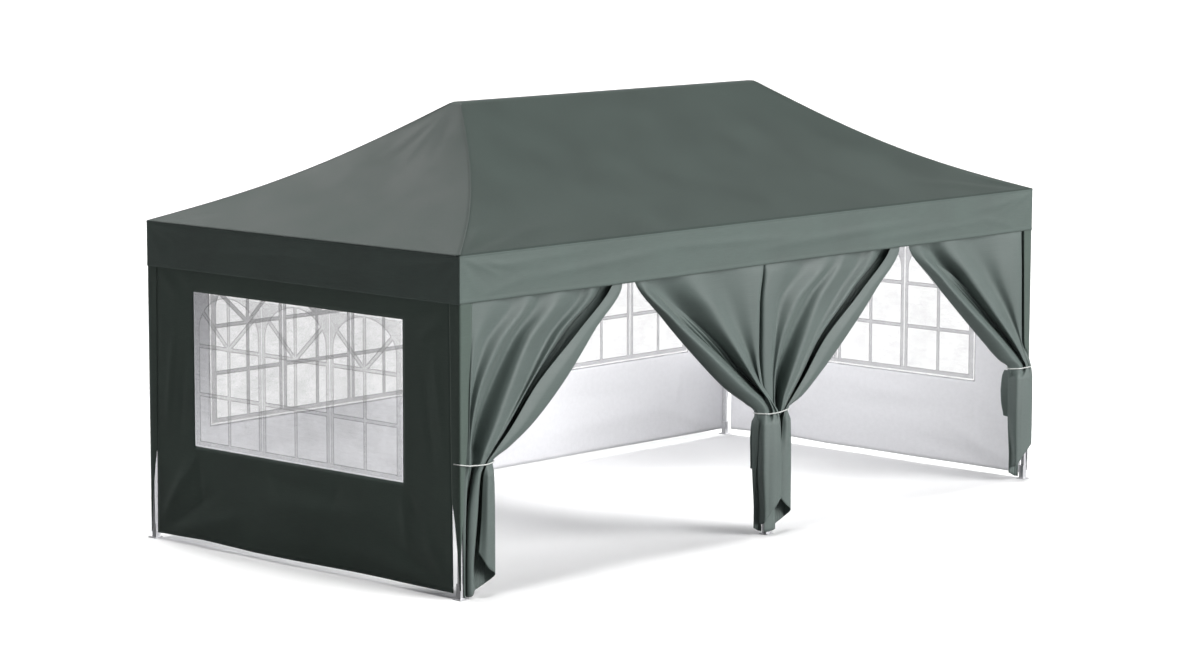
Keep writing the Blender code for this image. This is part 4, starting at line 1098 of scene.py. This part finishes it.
def leg_corners(x, outer):
    """What the cord goes round besides cloth: the leg, and the walls' corner at an outer one."""
    h = LEG / 2
    found = [(x + i * h, -LEG_Y + j * h) for i in (-1, 1) for j in (-1, 1)]
    if outer:
        sx = 1 if x > 0 else -1
        found += [(sx * END_X, -END_Y), (sx * END_X, 0.05 - END_Y), (sx * (END_X - 0.03), -END_Y)]
    return found


def make_tie(side, tags, x, outer, heights):
    """heights is how far the cord lies above or below the tie's height, at places across."""
    solid = [(px, py, 0.0) for px, py in leg_corners(x, outer)]
    for tag in tags:
        for v in (0.990, 1.0, 1.014):
            solid += [(q[0], q[1], FABRIC / 2) for q in curtain_row(CURTAINS[tag], v)]
    ring = hull([(px + (r + TIE_R) * math.cos(k * math.pi / 6), py + (r + TIE_R) * math.sin(k * math.pi / 6))
                 for px, py, r in solid for k in range(12)])
    pts = []
    for a, b in zip(ring, ring[1:] + ring[:1]):
        n = max(1, int(math.hypot(b[0] - a[0], b[1] - a[1]) / 0.006))
        pts += [(a[0] + (b[0] - a[0]) * k / n, a[1] + (b[1] - a[1]) * k / n) for k in range(n)]
    c = bpy.data.curves.new("tie_%s_cord" % side, "CURVE")
    c.dimensions = "3D"
    c.bevel_depth = TIE_R
    c.bevel_resolution = 4
    closed_line(c, [(px, py, TIE_Z + np.interp(px, *heights)) for px, py in pts]).use_smooth = True
    c.materials.append(CORD)
    o = add("tie_%s_cord" % side, c)
    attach(o, "root")
    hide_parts("tie_" + side)
    return o


for side, x, heights, tags in (
        ("left", -LEG_X, ([-3.0, -2.93, -2.80, -2.70], [0.012, 0.0, -0.006, 0.002]), ["bay_left_outer"]),
        ("mid", 0.0, ([-0.14, -0.04, 0.06, 0.18], [0.006, -0.005, -0.003, 0.006]),
         ["bay_left_inner", "bay_right_inner"]),
        ("right", LEG_X, ([2.72, 2.85, 3.0], [0.004, 0.0, 0.004]), ["bay_right_outer"])):
    tie = make_tie(side, tags, x, x != 0.0, heights)


# Frame finish, by how the solids' names start
FINISH = {"truss": TRUSS, "peak": POLE, "leg_inner": LOWER, "leg_outer": TUBE_PAINTED_SHADE}
for name, node in NODES.items():
    for start, finish in FINISH.items():
        if name.startswith(start) and not node.hide_render:
            node.data.materials.clear()
            node.data.materials.append(finish)


# Floor, backdrop and light
FLOOR_SHOWN = 0.92
FLOOR_BOUNCE = 0.27
FLOOR_HALF = 400.0
# The room: white round the far side, dim behind the camera's left, where the end wall faces
ROOM_EVEN = 0.023
ROOM_FAR = 0.25
ROOM_TOP = 0.05
# Even light from one side: where it comes from, its width in degrees and its power
SUNS = [
    ("front", (0.26, -0.95, 0.10), 30, 1.7),
    ("front_right", (0.62, -0.77, 0.14), 30, 1.9),
    ("key", (0.25, -0.70, 0.67), 30, 1.9),
    ("back", (0.09, 0.80, 0.60), 30, 3.1),
    ("top", (0.0, 0.0, 1.0), 12, 1.6),
]
# Lamps inside the tent: from, towards, size and power
LAMPS = [
    ("inside_right", (-1.3, 0.1, 1.55), (2.9, 0.3, 0.85), (1.8, 0.8), 48),
    ("inside_back", (0.0, -0.9, 1.70), (0.0, 1.45, 1.0), (4.6, 0.5), 9),
    ("inside_left", (-1.9, -0.5, 1.60), (-1.9, 1.45, 0.5), (1.4, 0.4), 1.2),
]
LAMP_SPREAD = math.radians(110)


def floor_material():
    """A white studio floor. It throws less light back up than it shows, like a lit sweep."""
    g = material("studio_floor")
    shade = g.spread(g.node("LightPath", {}, "Is Camera Ray"), FLOOR_BOUNCE, FLOOR_SHOWN)
    gain = g.times(shade, g.spread(g.noise(g.place(), 30.0, 2.0), 0.995, 1.005))
    return g.shade({"Base Color": g.tint((1.0, 1.0, 1.0), gain), "Roughness": 0.9, "Specular IOR Level": 0.0})


def make_floor():
    mesh = bpy.data.meshes.new("floor")
    ring = box_ring(-FLOOR_HALF, -FLOOR_HALF, FLOOR_HALF, FLOOR_HALF)
    mesh.from_pydata([(x, y, 0) for x, y in ring], [], [(0, 1, 2, 3)])
    mesh.materials.append(floor_material())
    o = add("floor", mesh)
    o.location.z = -0.001       # just below the feet


def make_room():
    world = bpy.data.worlds.new("studio")
    bpy.context.scene.world = world
    g = Graph(world, "Background")
    way = g.node("TexCoord", {}, "Generated")
    ahead = (math.cos(CAM_YAW), math.sin(CAM_YAW), 0.0)
    far = g.node("VectorMath", {0: way, 1: ahead}, "Value", operation="DOT_PRODUCT")
    low = g.spread(far, ROOM_EVEN, ROOM_FAR, 0.45, 0.93, interpolation_type="SMOOTHSTEP")
    high = g.spread(g.node("SeparateXYZ", {0: way}, "Z"), 0.0, ROOM_TOP, 0.2, 1.0)
    seen = g.node("LightPath", {}, "Is Camera Ray")
    g.shade({"Strength": g.spread(seen, g.math("ADD", low, high), 1.0)})


def make_lights():
    for name, toward, angle, power in SUNS:
        data = bpy.data.lights.new(name, "SUN")
        data.angle = math.radians(angle)
        data.energy = power
        add(name, data).rotation_euler = Vector(toward).to_track_quat("Z", "Y").to_euler()
    for name, at, to, size, power in LAMPS:
        data = bpy.data.lights.new(name, "AREA")
        data.shape = "RECTANGLE"
        data.size, data.size_y = size
        data.energy = power
        data.spread = LAMP_SPREAD
        o = add(name, data)
        o.location = at
        o.rotation_euler = (Vector(to) - Vector(at)).to_track_quat("-Z", "Y").to_euler()
        o.visible_camera = False


make_floor()
make_room()
make_lights()
bpy.context.scene.view_settings.view_transform = "Standard"
